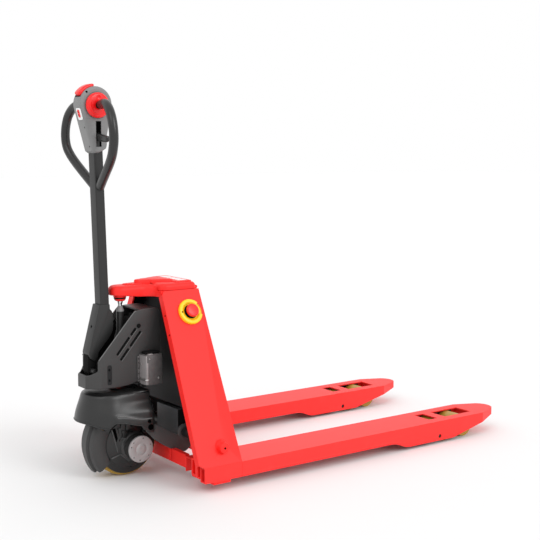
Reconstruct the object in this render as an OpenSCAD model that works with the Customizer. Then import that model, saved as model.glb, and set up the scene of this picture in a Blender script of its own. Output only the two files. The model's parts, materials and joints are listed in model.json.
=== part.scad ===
// Electric pallet truck, forks lowered. +X runs to the fork tips, +Y is the operator's left, +Z is up.
// Each module draws in the truck's own axes: x = 0 at the load face of the backrest, z = 0 at the floor.

/* [Forks] */
// Overall width over the two forks
fork_span = 685; // [660:1:700]
// Width of one fork
fork_w = 150; // [146:1:156]
// Length of a fork from the backrest to its tip
fork_len = 1150; // [1130:1:1220]
// Height of the lowered fork top above the floor
fork_top = 80; // [79:1:84]
// Height of the fork's side wall above the floor over its straight run
fork_clear = 32; // [28:1:36]
// Thickness of the fork plate
fork_t = 4; // [3:0.5:4]

/* [Frame] */
// Depth of the A-frame's side plates
frame_d = 135; // [130:1:148]
// Height of the A-frame's top edge
frame_top = 586; // [580:1:592]
// Half width of the A-frame at its top edge
frame_half = 96; // [90:1:98]
// Thickness of the side plates
side_t = 6; // [5:0.5:7]
// Width of the side plates' folded front edge
flange_w = 25; // [20:1:28]

/* [Steering head] */
// Distance of the steering axis in front of the load face
steer_d = 230; // [228:1:232]
// Radius of the drive wheel
wheel_r = 105; // [103:1:105]
// Width of the drive wheel's tyre
wheel_w = 60; // [56:1:60]
// Radius of the wheel dome about the steering axis
dome_r = 107; // [106:1:108]
// Height of the dome's front rim
dome_rim = 170; // [170:1:172]
// Height of the dome's top
dome_top = 278; // [276:1:279]
// Half width of the pump cover
cover_half = 60; // [58:1:61]

/* [Lift] */
// Stroke of the forks
stroke = 115; // [100:1:115]
// Radius of the load rollers
roller_r = 37; // [36:0.5:37]
// Distance of the rocker shaft in front of the load face
rocker_d = 60; // [58:1:62]
// Height of the rocker shaft
rocker_z = 130; // [128:1:132]
// Radius of the rocker shaft
rocker_r = 16; // [14:1:17]

/* [Tiller] */
// Backward offset of the tiller's foot from the load face
tiller_d = 288; // [286:1:290]
// Lean of the tiller towards the operator, in degrees
tiller_lean = 1.55; // [1:0.05:2]
// Height of the throttle shaft
throttle_z = 1157; // [1150:1:1165]
// Radius of the control head's round top
head_r = 54; // [50:1:55]
// Half width of the control head
head_half = 30; // [28:1:32]
// Half width over the centre lines of the two handle loops
loop_half = 165; // [150:1:168]
// Radius of the handle loop's grip
loop_r = 14; // [13:0.5:15]

/* [Hidden] */
$fn = 48;
eps = 0.01;
gap = 0.3;
fit = 0.05;

// Places that several sub-parts share
steer_x = -steer_d;
dome_shift = 49;
dome_front = steer_x - dome_shift - dome_r;
centre_x = (fork_len + dome_front) / 2;
rocker_x = -rocker_d;
fork_mid = (fork_span - fork_w) / 2;
lean = atan2(fork_span / 2 - frame_half, frame_top - fork_top);
slant = (frame_top - fork_top) / cos(lean);
under_top = fork_top - fork_t;

// Drawing helpers
module place() translate([-centre_x, 0, 0]) children();
module along_y(x, y, z) translate([x, y, z]) rotate([90, 0, 0]) children();
module rod_y(x, z, y0, y1, r) translate([x, y0, z]) rotate([-90, 0, 0]) cylinder(h = y1 - y0, r = r);
module slab_xz(y0, y1) translate([0, y1, 0]) rotate([90, 0, 0]) linear_extrude(y1 - y0) children();
module block(x0, x1, y0, y1, z0, z1) translate([x0, y0, z0]) cube([x1 - x0, y1 - y0, z1 - z0]);
module side(s) mirror([0, s < 0 ? 1 : 0, 0]) children();
module both() { side(1) children(); side(-1) children(); }
// Draws in the outer face of a leaning side plate: X along the truck, Y up the slope, Z outwards
module on_plate() translate([0, fork_span / 2, fork_top]) rotate([90 - lean, 0, 180])
    mirror([1, 0, 0]) children();
function arc(cx, cy, r, a0, a1, n) = [for (i = [0:n]) let (a = a0 + (a1 - a0) * i / n)
    [cx + r * cos(a), cy + r * sin(a)]];

// Fork: a pressed channel with two windows over its tandem rollers and a rounded solid tip
taper_x = fork_len - 101;
deep_z = 11;
window_w = 74;
window_1 = [818, 857];
window_2 = [896, 1024];
bogie_x = 930;
bracket_x = 795;
bracket_z = 26;
bracket_lug = 38;
hole_x = 836;
roller_half = 50;
lug_half = roller_half + 17;
lug_t = 6;
bracket_pin_r = 8;

module fork_plan() {
    half = fork_w / 2;
    polygon(concat([[0, -half], [taper_x, -half]],
        arc(taper_x + 50, 0, 51, -52, 52, 12),
        [[taper_x, half], [0, half]]));
}
module fork_profile() polygon([[0, fork_top], [0, fork_clear], [612, fork_clear], [634, fork_clear - 3],
    [672, deep_z + 3], [692, deep_z], [903, deep_z], [taper_x, 45], [fork_len + 2, 58],
    [fork_len + 2, fork_top]]);
module fork() {
    half = fork_w / 2;
    color("crimson") difference() {
        intersection() {
            linear_extrude(fork_top) fork_plan();
            slab_xz(-half - 1, half + 1) fork_profile();
        }
        block(-1, taper_x, -half + fork_t, half - fork_t, -1, under_top);
        for (w = [window_1, window_2])
            block(w[0], w[1], -window_w / 2, window_w / 2, 0, fork_top + 1);
        rod_y(hole_x, bracket_z, -half - 1, half + 1, 7);
    }
    for (s = [-1, 1]) color("crimson") difference() {
        slab_xz(s * lug_half - lug_t / 2, s * lug_half + lug_t / 2)
            polygon([[770, under_top], [781, 18], [809, 18], [820, under_top]]);
        rod_y(bracket_x, bracket_z, -fork_w, fork_w, bracket_pin_r + fit);
    }
}
module fork_left() translate([0, fork_mid, 0]) fork();
module fork_right() mirror([0, 1, 0]) fork_left();

// Heel: the fork's root under the A-frame, a top plate with a link slot and an open-ended outer rail
heel_len = 134;
heel_step = 22;
rail_w = 27;
slot_x = [-104, -16];
slot_half = 16;
module heel_left() color("crimson") {
    outer = fork_span / 2;
    difference() {
        union() {
            block(-heel_len + heel_step, 0, outer - fork_w, outer, under_top, fork_top);
            block(-heel_len + heel_step, 0, outer - fork_w, outer - fork_w + fork_t, fork_clear, fork_top);
            block(-heel_len, 0, outer - rail_w, outer, fork_clear, fork_top);
        }
        block(-heel_len - 1, 1, outer - rail_w + fork_t, outer - fork_t, fork_clear + fork_t, under_top);
        block(slot_x[0], slot_x[1], fork_mid - slot_half, fork_mid + slot_half, 0, fork_top + 1);
    }
}
module heel_right() mirror([0, 1, 0]) heel_left();
module heel_skids() color("firebrick") both()
    block(-102, -40, fork_span / 2 - rail_w + 2, fork_span / 2 - 2, fork_clear - 9, fork_clear);
// Upright stops in front of the heels, each with a pocket open to the front, on a short ledge
module heel_brackets() color("red") both() difference() {
    union() {
        block(-138, heel_step - heel_len, 271, 306, 46, 98);
        block(-136, heel_step - heel_len, 271, fork_span / 2 - rail_w - 1, 41, 47);
    }
    block(-139, -120, 277, 293, 51, 93);
}
beam_x = [-112, -96];
module cross_beam() color("crimson") difference() {
    block(beam_x[0], beam_x[1], -fork_span / 2 + fork_w, fork_span / 2 - fork_w, 42, 84);
    block(beam_x[0] + 6, beam_x[1] + 1, -fork_span, fork_span, 48, 78);
    both() block(beam_x[0] - 1, beam_x[1] + 1, rocker_arm_y[0] - 0.6, rocker_arm_y[1] + 0.6, 46, 85);
}

// Leaning side plate: folded front edge, bore for the rocker shaft
boss_s = (rocker_z - fork_top) / cos(lean);
plate_foot = -150;
module side_plate_left() color("red") difference() {
    union() {
        on_plate() translate([0, 0, -side_t]) linear_extrude(side_t)
            polygon([[0, 0], [0, slant], [-frame_d + 8, slant], [-frame_d, slant - 12], [plate_foot, 40],
                [plate_foot, 12], [-heel_len, 0]]);
        on_plate() translate([0, 0, -flange_w]) linear_extrude(flange_w)
            polygon([[-frame_d, slant - 12], [plate_foot, 12], [plate_foot + side_t, 12],
                [-frame_d + side_t, slant - 12]]);
    }
    rod_y(rocker_x, rocker_z, 0, fork_span, 12 + fit);
    block(plate_foot - 1, 1, 0, fork_span, 0, fork_top);
}
module side_plate_right() mirror([0, 1, 0]) side_plate_left();
module pivot_bosses() color("red") both() {
    face = fork_span / 2 - (rocker_z - fork_top) * tan(lean);
    difference() {
        union() {
            rod_y(rocker_x, rocker_z, face - 12, face + 18, 17);
            translate([rocker_x, face + 18, rocker_z]) rotate([-90, 0, 0])
                cylinder(h = 4, r1 = 17, r2 = 14);
        }
        on_plate() translate([rocker_x - 60, boss_s - 60, -60]) cube([120, 120, 60 + gap / 3]);
        rod_y(rocker_x, rocker_z, face - 20, face + 16, 12 + fit);
        rod_y(rocker_x, rocker_z, face, face + 30, 2);
    }
}

// Rear panel and top deck close the A-frame
inner_foot = fork_span / 2 - side_t / cos(lean) - gap;
function inner_y(z) = inner_foot - (z - fork_top) * tan(lean);
panel_t = 5;
deck_z = 572;
deck_t = 13;
module yz_slab(x0, x1) translate([x0, 0, 0]) rotate([90, 0, 90]) linear_extrude(x1 - x0) children();
tongue_half = 92;
module back_panel() color("red") yz_slab(-panel_t, 0)
    polygon([[-inner_y(96), 96], [-tongue_half, 96], [-tongue_half, 50], [tongue_half, 50],
        [tongue_half, 96], [inner_y(96), 96], [inner_y(deck_z - gap), deck_z - gap],
        [-inner_y(deck_z - gap), deck_z - gap]]);
nose_r = 35;
nose_top = 603;
nose_fillet = 40;
pack_x = [-78, -14];
pack_half = 78;
module nose_plan() {
    back = -frame_d - 1;
    polygon(concat(arc(steer_x, 0, nose_r, 90, 270, 20),
        arc(back - nose_fillet, -nose_r - nose_fillet, nose_fillet, 90, 0, 8),
        [[back, -frame_half], [back, frame_half]],
        arc(back - nose_fillet, nose_r + nose_fillet, nose_fillet, 0, -90, 8)));
}
module top_deck() color("red") difference() {
    union() {
        translate([0, 0, deck_z]) linear_extrude(nose_top - deck_z) nose_plan();
        block(-frame_d - 1 - eps, -frame_d + side_t + 1, -inner_y(586), inner_y(586),
            deck_z, deck_z + deck_t);
        block(-frame_d + side_t, 0, -inner_y(586), inner_y(586), deck_z, deck_z + deck_t);
    }
    translate([steer_x, 0, deck_z - 1]) cylinder(h = 13, r = 18);
    block(pack_x[0] - 2, pack_x[1] + 2, -pack_half - 2, pack_half + 2, deck_z - 1, nose_top);
}

// Lid over the battery, hinged along the rear edge of the deck
lid_z = frame_top + gap;
lid_top = 606;
hinge_x = 6;
hinge_z = 588;
lid_r = 9;
knuckle_r = 6;
module lid_corner(x, y) translate([x, y, 0]) {
    translate([0, 0, lid_top - lid_r]) sphere(r = lid_r, $fn = 24);
    translate([0, 0, lid_z]) cylinder(h = 1, r = lid_r, $fn = 24);
}
module battery_lid() color("red") difference() {
    union() {
        hull() for (x = [-frame_d + lid_r, -lid_r], y = [-frame_half + lid_r, frame_half - lid_r])
            lid_corner(x, y);
        hull() for (x = [-frame_d + 26, -22], y = [-frame_half + 22, frame_half - 22])
            translate([x, y, lid_top - 4]) cylinder(h = 12, r1 = 10, r2 = 5, $fn = 24);
        for (s = [-1, 1]) {
            rod_y(hinge_x, hinge_z, s * 55 - 15, s * 55 + 15, knuckle_r);
            block(-2, hinge_x, s * 55 - 15, s * 55 + 15, hinge_z, hinge_z + knuckle_r);
        }
    }
    block(-frame_d + 5, -5, -frame_half + 5, frame_half - 5, lid_z - 1, lid_top - 5);
    rod_y(hinge_x, hinge_z, -100, 100, 3 + fit);
}
module lid_hinge_pin() color("silver") {
    rod_y(hinge_x, hinge_z, -72, 72, 3);
    difference() {
        union() {
            rod_y(hinge_x, hinge_z, -39, 39, knuckle_r);
            block(0, hinge_x, -39, 39, 560, hinge_z);
        }
        rod_y(hinge_x, hinge_z, -80, 80, 3);
    }
}

// Thrust cup under the nose and the lift piston that bears in it
module thrust_cup() color("firebrick") translate([steer_x, 0, 0]) difference() {
    union() {
        translate([0, 0, 562]) cylinder(h = deck_z - 562, r = 21);
        translate([0, 0, 554]) cylinder(h = 8, r1 = 16, r2 = 19);
    }
    translate([0, 0, 550]) cylinder(h = 20, r = 6);
}
piston_r = 10;
module lift_piston() color("gainsboro") translate([steer_x, 0, 0]) {
    translate([0, 0, 530]) cylinder(h = 39, r = 6 - fit);
    translate([0, 0, 520]) cylinder(h = 10, r1 = 12, r2 = 9);
    translate([0, 0, 315]) cylinder(h = 205, r = piston_r);
}

// Battery case behind the steering head, shaped to the A-frame, with its removable pack
case_x = [-84, -8];
case_z = [217, 571];
module case_face(inset) polygon([
    [-inner_y(case_z[0]) + inset, case_z[0]], [inner_y(case_z[0]) - inset, case_z[0]],
    [inner_y(case_z[1]) - inset, case_z[1]], [-inner_y(case_z[1]) + inset, case_z[1]]]);
module battery_case() color("dimgray") difference() {
    yz_slab(case_x[0], case_x[1]) case_face(12);
    block(pack_x[0] - 1, pack_x[1] + 1, -pack_half - 1, pack_half + 1, case_z[0] + 6, case_z[1] + 1);
}
module battery_pack() color("black") {
    block(pack_x[0], pack_x[1], -pack_half, pack_half, case_z[0] + 6 + gap, 540);
    difference() {
        block(-52, -40, -50, 50, 540, 566);
        block(-53, -39, -40, 40, 539, 558);
    }
}
// Electronics box under the battery, with a skirt that hides the rocker shaft
module controller_box() color("dimgray") {
    block(-83, -20, -98, 32, 150, 204);
    block(-83, -79, -98, 32, 118, 150);
}

// Emergency stop on the right side plate
stop_x = -50;
stop_s = 490;
module stop_place() mirror([0, 1, 0]) on_plate() translate([stop_x, stop_s, 0]) children();
module e_stop_ring() color("gold") stop_place() difference() {
    union() {
        translate([0, 0, gap / 3]) cylinder(h = 7, r = 41);
        translate([0, 0, 7]) cylinder(h = 4, r1 = 41, r2 = 36);
    }
    translate([0, 0, 5]) cylinder(h = 7, r1 = 22, r2 = 30);
    translate([0, 0, -1]) cylinder(h = 12, r = 9);
    translate([-32, 0, 6]) cylinder(h = 6, r = 3);
}
module e_stop_button() color("red") stop_place() {
    translate([0, 0, 18]) cylinder(h = 10, r1 = 20, r2 = 18);
    translate([0, 0, 11]) cylinder(h = 7, r1 = 12, r2 = 20);
    translate([0, 0, 6]) cylinder(h = 5, r = 9 - fit);
}

// Wheel dome: a cast cover that carries the steering bearing and is pinned to the rocker arms
ear_x = steer_x + 42;
ear_z = 165;
ear_y = [109.5, 117.5];
module dome_ring(z, r, r_front, h) {
    translate([steer_x, 0, z]) cylinder(h = h, r = r, $fn = 40);
    translate([steer_x - dome_shift, 0, z]) cylinder(h = h, r = r_front, $fn = 40);
}
module dome_shape(wall) {
    top = dome_top - wall;
    hull() {
        dome_ring(top - 1, 62 - wall, 72 - wall, 1);
        dome_ring(top - 16, 80 - wall, 88 - wall, 1);
        dome_ring(top - 50, 98 - wall, 99 - wall, 1);
        dome_ring(dome_rim, dome_r - wall, dome_r - wall, 20);
    }
}
module wheel_dome() color([0.28, 0.28, 0.28]) difference() {
    union() {
        difference() {
            dome_shape(0);
            translate([0, 0, -eps]) dome_shape(5);
            block(-300, steer_x + dome_r + 5, -dome_r - 1, dome_r + 1, dome_rim - 1, 202);
        }
        both() {
            slab_xz(ear_y[0], ear_y[1]) polygon(concat([[ear_x - 22, 222], [ear_x - 22, 200]],
                arc(ear_x, ear_z, 16, 200, 340, 12), [[ear_x + 18, 200], [ear_x + 18, 222]]));
            block(ear_x - 22, ear_x + 18, 90, ear_y[1], 203, 222);
        }
        translate([steer_x, 0, 240]) cylinder(h = 37, r = 42);
    }
    translate([steer_x, 0, 200]) cylinder(h = 100, r = 30 + fit);
    rod_y(ear_x, ear_z, -130, 130, 7);
}
module ear_pins() color("silver") both() {
    rod_y(ear_x, ear_z, 97, ear_y[1] + 3, 7);
    rod_y(ear_x, ear_z, ear_y[1], ear_y[1] + 4, 9);
}

// Steering column with the wheel fork: it turns in the dome and carries the pump cover
arm_y = [wheel_w / 2 + 2, wheel_w / 2 + 10];
module steering_column() color("dimgray") {
    difference() {
        translate([steer_x, 0, 222]) cylinder(h = cover_z0 - 222, r = 30);
        translate([steer_x, 0, 221]) cylinder(h = 62, r = 20);
    }
    block(steer_x - 40, steer_x + 40, -50, arm_y[1], 213, 222);
    difference() {
        slab_xz(arm_y[0], arm_y[1]) polygon(concat([[steer_x - 36, 214], [steer_x - 36, 180]],
            arc(steer_x, wheel_r, 24, 180, 360, 16), [[steer_x + 36, 180], [steer_x + 36, 214]]));
        rod_y(steer_x, wheel_r, 0, 60, 10);
    }
}
housing_r = 97;
housing_y = [-52, -wheel_w / 2 - 2];
motor_x = steer_x + 18;
motor_z = 95;
motor_r = 43;
module housing_rib(a) translate([steer_x, 0, wheel_r]) rotate([0, a, 0])
    translate([-3, housing_y[0] - 3, 22]) cube([6, 5, 62]);
module drive_housing() color("dimgray") difference() {
    union() {
        rod_y(steer_x, wheel_r, housing_y[0], housing_y[1], housing_r);
        rod_y(steer_x, wheel_r, housing_y[0] - 4, housing_y[0], 24);
        for (a = [200, 250, 300, 350]) housing_rib(a);
        block(steer_x - 30, steer_x + 30, housing_y[0], housing_y[1], 190, 213);
    }
    rod_y(steer_x, wheel_r, -40, -20, 10);
    rod_y(steer_x, wheel_r, housing_y[1] - 1, 0, 18);
    rod_y(motor_x, motor_z, -60, -48, motor_r - 3);
    rod_y(motor_x, motor_z, -60, -52.5, motor_r);
}
module drive_motor() color([0.22, 0.22, 0.22]) {
    rod_y(motor_x, motor_z, -86, -48, motor_r - 3);
    rod_y(motor_x, motor_z, -86, -52.5, motor_r - 1);
}
module motor_cap() color("darkgray") difference() {
    union() {
        rod_y(motor_x, motor_z, -94, -86, motor_r);
        rod_y(motor_x, motor_z, -95, -94, 17);
    }
    for (a = [20:60:320]) translate([motor_x, 0, motor_z]) rotate([0, a, 0])
        rod_y(34, 0, -95, -91, 2);
}
// Guard in front of the wheel, three stepped bands
guard_top = dome_rim - 4;
guard_in = 112;
module guard_band(y0, y1, r) difference() {
    rod_y(steer_x, wheel_r, y0, y1, r);
    rod_y(steer_x, wheel_r, y0 - 1, y1 + 1, guard_in);
    block(steer_x - 74, steer_x + 200, y0 - 1, y1 + 1, -60, 300);
    block(steer_x - 200, steer_x, y0 - 1, y1 + 1, guard_top, 300);
    block(steer_x - 200, steer_x, y0 - 1, y1 + 1, -60, 14);
}
module foot_guard() color("dimgray") {
    guard_band(-38, -14, 126);
    guard_band(-14, 14, 131);
    guard_band(14, 38, 126);
    difference() {
        block(steer_x - 104, steer_x - 72, -38, -arm_y[0], 40, guard_top);
        rod_y(steer_x, wheel_r, -40, 0, housing_r + fit);
    }
}
module wheel_axle() color("silver") rod_y(steer_x, wheel_r, -38, 44, 10);
module drive_hub() color("dimgray") difference() {
    rod_y(steer_x, wheel_r, -wheel_w / 2 + 1, wheel_w / 2 - 1, 78);
    rod_y(steer_x, wheel_r, -40, 40, 10 + fit);
    for (a = [0:60:300]) translate([steer_x, 0, wheel_r]) rotate([0, a, 0])
        rod_y(48, 0, -40, 40, 12);
}
module drive_tyre() color("darkgoldenrod") along_y(steer_x, 0, wheel_r) rotate_extrude($fn = 64)
    polygon([[78, -wheel_w / 2], [wheel_r - 6, -wheel_w / 2], [wheel_r, -wheel_w / 2 + 7],
        [wheel_r, wheel_w / 2 - 7], [wheel_r - 6, wheel_w / 2], [78, wheel_w / 2]]);

// Pump cover: two sloped cheeks joined at the back and floor, with the tiller's cup in front
cover_z0 = 282.5;
cover_z1 = 530;
cover_back = -121;
cup_x = -361;
cheek_x = -334;
cup_half = 30;
cup_z = 336;
wall = 4;
tiller_px = -339;
tiller_pz = 347;
module cheek_outline() polygon([[cheek_x, cover_z0], [cheek_x, 380], [-329, 389], [-214, 519],
    [-203, 527], [-186, cover_z1], [cover_back - 8, cover_z1 + 2], [cover_back, cover_z1 - 8],
    [cover_back, 300], [cover_back - 6, cover_z0 + 8], [-200, cover_z0]]);
module cheek_slots() {
    for (line = [[-274, 394, -207, 473], [-262, 377, -190, 462]])
        hull() for (k = [0, 1]) translate([line[2 * k], line[2 * k + 1]]) circle(r = 3.5, $fn = 16);
    translate([-197, 479]) circle(r = 7);
    hull() for (z = [312, 362]) translate([-300, z]) circle(r = 9, $fn = 24);
}
module pump_cover() color([0.27, 0.27, 0.27]) {
    both() difference() {
        slab_xz(cover_half - wall, cover_half) cheek_outline();
        slab_xz(cover_half - 2, cover_half + 1) cheek_slots();
    }
    block(cover_back - wall, cover_back, -cover_half + wall, cover_half - wall, cover_z0 + 8, cover_z1 - 8);
    difference() {
        block(cheek_x, cover_back - wall, -cover_half + wall, cover_half - wall, cover_z0, cover_z0 + wall);
        translate([steer_x, 0, cover_z0 - 1]) cylinder(h = 10, r = 20);
    }
    difference() {
        union() {
            block(cup_x, cheek_x, -cup_half, cup_half, cover_z0, cup_z);
            slab_xz(-cup_half, cup_half) polygon([[-354, cup_z], [-350, 366], [-318, 372], [-318, cup_z]]);
            for (s = [-1, 1]) block(cheek_x, -318, s > 0 ? cup_half - wall : -cover_half + wall,
                s > 0 ? cover_half - wall : -cup_half + wall, cover_z0, 352);
        }
        block(cup_x + wall, -314, -cup_half + wall, cup_half - wall, cover_z0 + wall, 400);
        block(-318, -300, -cup_half + wall, cup_half - wall, cover_z0 + wall, 400);
        rod_y(tiller_px, tiller_pz, -80, 80, 8 + fit);
    }
}
module lift_cylinder() color([0.2, 0.2, 0.2]) difference() {
    union() {
        translate([steer_x, 0, 287]) cylinder(h = 180, r = 19);
        translate([steer_x, 0, 467]) cylinder(h = 50, r = 13);
    }
    translate([steer_x, 0, 299]) cylinder(h = 230, r = piston_r + fit);
}
// Aluminium control unit on the right cheek
module control_unit() color("silver") difference() {
    union() {
        block(-192, -134, -98, -cover_half - gap / 3, 295, 391);
        for (z = [306:14:376]) block(-188, -138, -98.8, -98, z, z + 4);
        block(-204, -192, -cover_half - 6, -cover_half - gap / 3, 303, 384);
    }
    for (z = [316:18:376]) rod_y(-198, z, -70, -50, 2.5);
}
module tiller_pin() color("silver") rod_y(tiller_px, tiller_pz, -cup_half - 8, cup_half + 8, 8);

// Tiller: a folded bracket, a square tube and the control head
tube_half = 21;
tube_d = 30;
tube_z0 = 520;
tube_z1 = 1030;
function tube_x(z) = -tiller_d - (z - 395) * tan(tiller_lean);
module tiller_tube() color([0.27, 0.27, 0.27]) difference() {
    translate([tube_x(tube_z0), 0, tube_z0]) rotate([0, -tiller_lean, 0])
        block(-tube_d / 2, tube_d / 2, -tube_half, tube_half, 0, tube_z1 - tube_z0);
    translate([tube_x(tube_z0), 0, tube_z0]) rotate([0, -tiller_lean, 0])
        block(-tube_d / 2 + 3, tube_d / 2 - 3, -tube_half + 3, tube_half - 3, 8, tube_z1 - tube_z0 - 8);
}
bracket_half = 24;
module bracket_outline() polygon([[-313, 549], [-351, 399], [-330, 380], [-322, 385], [-318, 403],
    [-276, 452], [-266, 475], [-266, 515], [-272, 531], [-276, 549]]);
module tiller_bracket() color([0.27, 0.27, 0.27]) difference() {
    union() {
        slab_xz(-bracket_half, bracket_half) bracket_outline();
        slab_xz(-17, 17) polygon(concat([[-348, 402]], arc(tiller_px, tiller_pz, 14, 170, 370, 16),
            [[-324, 392]]));
    }
    translate([tube_x(tube_z0), 0, tube_z0]) rotate([0, -tiller_lean, 0])
        block(-tube_d / 2, tube_d / 2, -tube_half, tube_half, 0, 60);
    rod_y(tiller_px, tiller_pz, -40, 40, 8 + fit);
    rod_y(-331, 482, -40, 40, 4);
}

head_x = -312;
head_foot = 1014;
slot_lever = [1058, 1112];
lever_x = -310;
lever_z = 1088;
lever_y = -16;
button_z = [1118, 1148];
function face_x(z) = tube_x(head_foot) - 24 - (z - head_foot) * 0.267;
// Strip that follows the head's sloped front between two heights
module face_strip(z0, z1, d0, d1) polygon([
    [face_x(z0) + d0, z0], [face_x(z1) + d0, z1], [face_x(z1) + d1, z1],
    [face_x(z0) + d1, z0]]);
module head_outline(d) hull() {
    translate([head_x, throttle_z + 4]) circle(r = head_r - d, $fn = 48);
    translate([tube_x(head_foot) - 24 + d, head_foot + d]) square([52 - 2 * d, 1]);
}
// Sector of the belly switch in the head's round front
module belly_sector(r0, r1, a0, a1) translate([head_x, throttle_z + 4]) difference() {
    circle(r = r1);
    circle(r = r0);
    rotate(a0) translate([-100, -200]) square([200, 200]);
    rotate(a1) translate([-100, 0]) square([200, 200]);
}
belly_a = [86, 150];
belly_half = 17;
module head_stack(w, d) slab_xz(-w, w) head_outline(d);
module control_head() color([0.56, 0.56, 0.56]) difference() {
    hull() {
        head_stack(head_half - 7, 0);
        head_stack(head_half, 7);
    }
    slab_xz(-belly_half - 1, belly_half + 1)
        belly_sector(head_r - 16, head_r + 20, belly_a[0] - 4, belly_a[1] + 4);
    translate([tube_x(tube_z0), 0, tube_z0]) rotate([0, -tiller_lean, 0])
        block(-tube_d / 2, tube_d / 2, -tube_half, tube_half, 0, tube_z1 - tube_z0);
    block(lever_x - 8, lever_x + 8, -60, -4, slot_lever[0], slot_lever[1]);
    slab_xz(-6.4, 6.4) face_strip(button_z[0] - 0.5, button_z[1] + 0.5, -9, 4.4);
    for (s = [-1, 1]) for (z = [1044, 1076]) rod_y(-322, z, s > 0 ? head_half - 5 : -head_half - 1,
        s > 0 ? head_half + 1 : -head_half + 5, 3);
}
// Handle loop: a round grip bent from the control head back to the tube
loop_path = [
    [head_x, 57, throttle_z], [-318, 85, 1161], [-322, 122, 1150], [-325, 148, 1125], [-327, 162, 1095],
    [-327, loop_half, 1062], [-325, 157, 1032], [-321, 137, 1003], [-312, 88, 962], [-303, 22, 917]
];
root_r = 10;
module handle_loop_left() color([0.25, 0.25, 0.25]) difference() {
    union() {
        for (i = [0:len(loop_path) - 2]) hull() for (k = [0, 1])
            translate(loop_path[i + k]) sphere(r = i + k == 0 ? root_r - 1 : loop_r, $fn = 14);
        rod_y(head_x, throttle_z, head_half, loop_path[0][1] + 4, root_r);
    }
    translate([tube_x(tube_z0), 0, tube_z0]) rotate([0, -tiller_lean, 0])
        block(-tube_d, tube_d, -tube_half, tube_half, 0, tube_z1 - tube_z0);
}
module handle_loop_right() mirror([0, 1, 0]) handle_loop_left();

// Throttle paddles on one shaft through the control head
paddle_r = 37;
module throttle_left() color("red") difference() {
    union() {
        rod_y(head_x, throttle_z, head_half + 0.6, head_half + 9, paddle_r);
        translate([head_x, head_half + 9, throttle_z]) rotate([-90, 0, 0])
            cylinder(h = 6, r1 = paddle_r, r2 = 24);
    }
    rod_y(head_x, throttle_z, 0, 80, root_r + fit);
    translate([head_x - 6, head_half + 18, throttle_z + 24]) sphere(r = 12, $fn = 24);
}
module throttle_right() mirror([0, 1, 0]) throttle_left();
module belly_switch() color("red") slab_xz(-belly_half, belly_half)
    belly_sector(head_r - 10, head_r + 8, belly_a[0], belly_a[1]);
module lift_lever() color([0.15, 0.15, 0.15]) translate([lever_x, lever_y, lever_z]) rotate([20, 0, 0]) {
    rod_y(0, 0, -84, 0, 5);
    rod_y(0, 0, -90, -54, 7.5);
    rotate([0, 90, 0]) cylinder(h = 15, r = 8, center = true);
}
module horn_button() color("firebrick") slab_xz(-6, 6) face_strip(button_z[0], button_z[1], -2, 2.6);

// Rocker: a cross shaft in the side plates, two arms to the dome and two lugs that push the rods
// The lugs swing evenly to both sides of the vertical, and both ends of a push rod travel the same way
rocker_arm_y = [101, 107];
arm_reach = rocker_x - ear_x;
arm_sweep = atan2(ear_z - rocker_z, arm_reach) + atan2(rocker_z - ear_z + stroke, arm_reach);
bracket_r = norm([bogie_x - bracket_x, roller_r - bracket_z]);
bracket_a = (asin((roller_r - bracket_z) / bracket_r)
    - asin((roller_r - stroke - bracket_z) / bracket_r)) / 2;
lug_a = arm_sweep / 2;
lug_len = bracket_lug * sin(bracket_a) / sin(lug_a);
eye_a = atan2(ear_z - rocker_z, ear_x - rocker_x);
function polar(r, a) = [rocker_x + r * cos(a), rocker_z + r * sin(a)];
lug_tip = [rocker_x - lug_len * sin(lug_a), rocker_z - lug_len * cos(lug_a)];
link_pin_r = 5;
slot_r = [arm_reach, norm([arm_reach, rocker_z - ear_z + stroke])];
module rocker_shaft() color("dimgray") {
    shaft_half = fork_span / 2 - (rocker_z - fork_top) * tan(lean) + 14;
    rod_y(rocker_x, rocker_z, -shaft_half, shaft_half, 12);
    rod_y(rocker_x, rocker_z, -292, 292, rocker_r);
    both() {
        slab_xz(fork_mid - 5, fork_mid + 5) hull() {
            translate([rocker_x, rocker_z]) circle(r = rocker_r + 3, $fn = 32);
            translate(lug_tip) circle(r = 10, $fn = 32);
        }
        rod_y(lug_tip[0], lug_tip[1], fork_mid - 14, fork_mid + 14, link_pin_r);
    }
}
module rocker_arm_left() color("dimgray") slab_xz(rocker_arm_y[0], rocker_arm_y[1]) difference() {
    union() {
        hull() for (r = slot_r) translate(polar(r, eye_a)) circle(r = 19, $fn = 32);
        hull() {
            translate(polar(slot_r[0], eye_a)) circle(r = 19, $fn = 32);
            translate([rocker_x - 36, rocker_z - 30]) circle(r = 22, $fn = 32);
            translate([rocker_x, rocker_z]) circle(r = 12, $fn = 32);
        }
        hull() {
            translate([rocker_x - 36, rocker_z - 30]) circle(r = 22, $fn = 32);
            translate([rocker_x + 14, rocker_z - 28]) circle(r = 18, $fn = 32);
        }
        translate([rocker_x, rocker_z]) circle(r = rocker_r + 7);
    }
    hull() for (r = slot_r) translate(polar(r, eye_a)) circle(r = 12, $fn = 32);
    translate([rocker_x, rocker_z]) circle(r = rocker_r);
}
module rocker_arm_right() mirror([0, 1, 0]) rocker_arm_left();

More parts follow.
